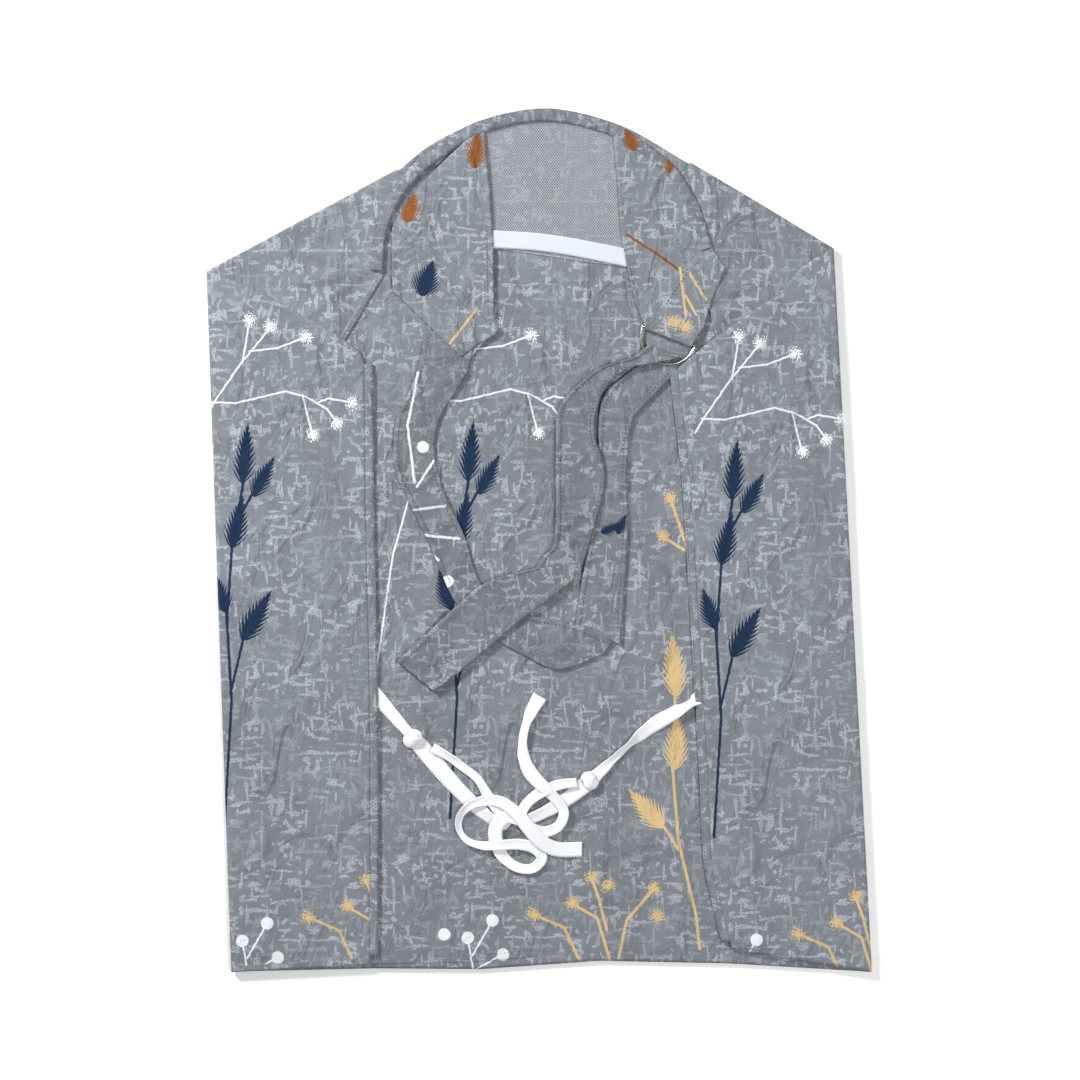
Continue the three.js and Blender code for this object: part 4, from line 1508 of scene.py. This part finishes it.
def tape(name, points, body, nodes):
    """A flat tape along its route."""
    route = Route(points)
    steps = int(route.length / 0.75)
    ribbon = bmesh.new()
    bmesh.ops.create_grid(ribbon, x_segments=6, y_segments=steps, size=0.5)
    middle = []
    for i in range(steps + 1):
        p = route.at(i / steps)
        middle.append(spot(p.x, p.y, p.z + waves(p.x, p.y)))
    for vertex in ribbon.verts:
        i = round((vertex.co.y + 0.5) * steps)
        t = i / steps
        way = (middle[min(steps, i + 2)] - middle[max(0, i - 2)]).normalized()
        level = Vector((-way.y, way.x, 0)).normalized()
        up = way.cross(level)
        if up.z < 0:
            up = -up
        roll, share = route.twist(t)
        side = level * math.cos(math.radians(roll)) + up * math.sin(math.radians(roll))
        scallop = 1 + 0.05 * math.sin(2 * math.pi * i * 0.75 / 2.4)
        across = vertex.co.x * TAPE_WIDTH * share * (scallop if abs(vertex.co.x) > 0.45 else 1)
        curl = up * (0.35 * (2 * vertex.co.x) ** 2 * (1 - share) * 6)
        vertex.co = middle[i] + (side * across + curl) * MM
        vertex.co.z = max(vertex.co.z, 2.0 * MM)
    bmesh.ops.recalc_face_normals(ribbon, faces=ribbon.faces)
    made = piece_from(name, ribbon, tape_finish.material, body, *nodes)
    thicken(made, 0.65)
    length = sum((b - a).length for a, b in zip(middle, middle[1:]))
    tuple(middle[0])
    [tuple(p) for p in middle[::2] + middle[-1:]]
    return made


def level(n):
    return TAPE_LEVEL + n * TAPE_STEP


def knot(name, x, drop, heading, body, node, turns):
    """A small hard knot: bands of tape wrapped round the tie on slightly different slants."""
    centre = spot(x, drop, 4.6 + waves(x, drop))
    lump = bmesh.new()
    for slant, tilt, long, wide, high in turns:
        band = bmesh.new()
        bmesh.ops.create_grid(band, x_segments=28, y_segments=8, size=0.5)
        for vertex in band.verts:
            around = 2 * math.pi * (vertex.co.x + 0.5)
            along = vertex.co.y
            puff = 1 - 0.35 * (2 * along) ** 2
            local = Vector(
                (
                    along * long + 0.6 * math.sin(around * 2),
                    math.cos(around) * wide / 2 * puff,
                    math.sin(around) * high / 2 * puff,
                )
            )
            local.rotate(Matrix.Rotation(slant, 3, "Z"))
            local.rotate(Matrix.Rotation(tilt, 3, "X"))
            local.rotate(Matrix.Rotation(heading, 3, "Z"))
            vertex.co = centre + local * MM
        bmesh.ops.remove_doubles(band, verts=band.verts, dist=1e-6)
        bmesh.ops.recalc_face_normals(band, faces=band.faces)
        data = bpy.data.meshes.new(name)
        band.to_mesh(data)
        lump.from_mesh(data)
        bpy.data.meshes.remove(data)
        band.free()
    made = piece_from(name, lump, tape_finish.material, body, node)
    thicken(made, 0.7)
    return made


left_knot = knot(
    "left_knot",
    -107.5,
    535.5,
    -0.88,
    "left_tie",
    "left_tie_knot",
    [(0, 0, 11, 17, 4.8), (0.75, 0.1, 9, 15, 5.6), (-0.5, 0.15, 6, 13, 6)],
)
right_knot = knot(
    "right_knot",
    42.5,
    571,
    0.72,
    "right_tie",
    "right_tie_knot",
    [(0, 0, 11, 16, 4.8), (-0.8, -0.1, 8, 15, 5.6), (0.4, 0.1, 6, 12, 6)],
)
tape(
    "left_tie_tape",
    [
        (-146.5, 490, level(0) + 0.6, 0, 1.0),
        (-136, 502, level(0) + 0.3, 0, 0.95),
        (-124, 516, level(0), 8, 0.85),
        (-109, 533, level(0.5), 0, 0.7),
        (-95, 549, level(0.3), -6, 1.1),
        (-77, 570, level(0.2), -8, 1.15),
        (-59, 588.5, level(0.2), -4, 1.1),
        (-44, 601.5, level(0.3), 0, 1.0),
        (-34, 608.5, level(0.5), 6, 0.95),
        (-29.5, 606, level(0.9), 20, 0.8),
        (-33.5, 598, level(1.3), 10, 0.8),
        (-43, 585, level(1.4), 12, 0.75),
        (-52, 570, level(1.3), 22, 0.6),
        (-65, 559.5, level(1.2), 10, 0.55),
        (-77, 551, level(1.3), -20, 0.6),
        (-91, 543, level(1.6), 0, 0.65),
    ],
    "left_tie",
    ["left_waist_tie", "left_waist_tie_return"],
)
tape(
    "right_tie_tape",
    [
        (141, 498, level(0) + 0.6, 0, 1.0),
        (131, 503, level(0.2), 35, 0.75),
        (115, 513, level(0.3), 12, 0.9),
        (97.5, 523.5, level(0.2), 0, 1.0),
        (81, 536.5, level(0.1), -12, 0.85),
        (66.5, 549.5, level(0.3), -40, 0.5),
        (52, 563, level(0.7), -15, 0.5),
        (41, 573, level(0.6), 0, 0.75),
        (27, 584, level(0.3), 8, 1.05),
        (10, 595, level(0.2), 5, 1.0),
        (-4, 602, level(0.3), 0, 0.9),
        (-13, 604.5, level(0.6), -10, 0.8),
        (-15, 598, level(1.1), -15, 0.75),
        (-9, 588.5, level(1.3), -12, 0.7),
        (3, 580, level(1.3), -10, 0.75),
        (17, 574.5, level(1.3), -6, 0.7),
        (31.5, 572.5, level(1.6), 0, 0.6),
    ],
    "right_tie",
    ["right_waist_tie", "right_waist_tie_return"],
)
tape(
    "joining_tape",
    [
        (0.4, 499.6, level(0), 0, 1.0),
        (-9, 516.6, level(0.2), 14, 0.85),
        (-14, 534, level(0.4), 25, 0.6),
        (-13.6, 549.8, level(0.6), 20, 0.6),
        (-8, 564, level(1.4), 0, 0.8),
        (3.8, 577, level(2.1), 0, 0.95),
        (14.5, 587.5, level(2.1), 5, 0.9),
        (20.5, 598, level(1.8), 15, 0.75),
        (16, 609.5, level(1.4), 12, 0.7),
        (4, 614.5, level(1.5), 5, 0.7),
        (-8, 610.5, level(2.1), 0, 0.75),
        (-19, 604, level(2.1), 0, 0.7),
        (-29.5, 602.5, level(2.1), 0, 0.75),
        (-37, 611, level(2.0), 0, 0.95),
        (-36.5, 624, level(1.4), 0, 0.95),
        (-30.5, 636, level(0.6), -6, 0.85),
        (-19, 644.5, level(0.3), -14, 0.7),
        (-6, 645.5, level(0.3), -14, 0.65),
        (2, 637, level(0.5), 0, 0.7),
        (-4.5, 628.5, level(1.1), 0, 0.75),
        (-17, 625, level(1.9), 0, 0.75),
        (-33, 625.5, level(2.4), 0, 0.7),
        (-48, 626, level(1.5), 14, 0.6),
        (-61, 622, level(0.8), 28, 0.5),
        (-68, 612.5, level(0.6), 30, 0.45),
        (-67.5, 601.5, level(0.9), 22, 0.5),
        (-60, 593, level(1.8), 8, 0.6),
        (-49, 588.5, level(2.2), 0, 0.75),
        (-37.5, 588, level(2.3), 0, 0.8),
        (-27.5, 592, level(2.6), 0, 0.85),
        (-17, 601.5, level(3.1), 0, 0.95),
        (-8, 612.5, level(3.1), 0, 1.0),
        (3, 624, level(2.2), 0, 1.0),
        (16, 629.5, level(0.9), 0, 1.0),
        (36, 629.5, level(0.1), 0, 1.0),
    ],
    "front",
    ["joining_tie"],
)
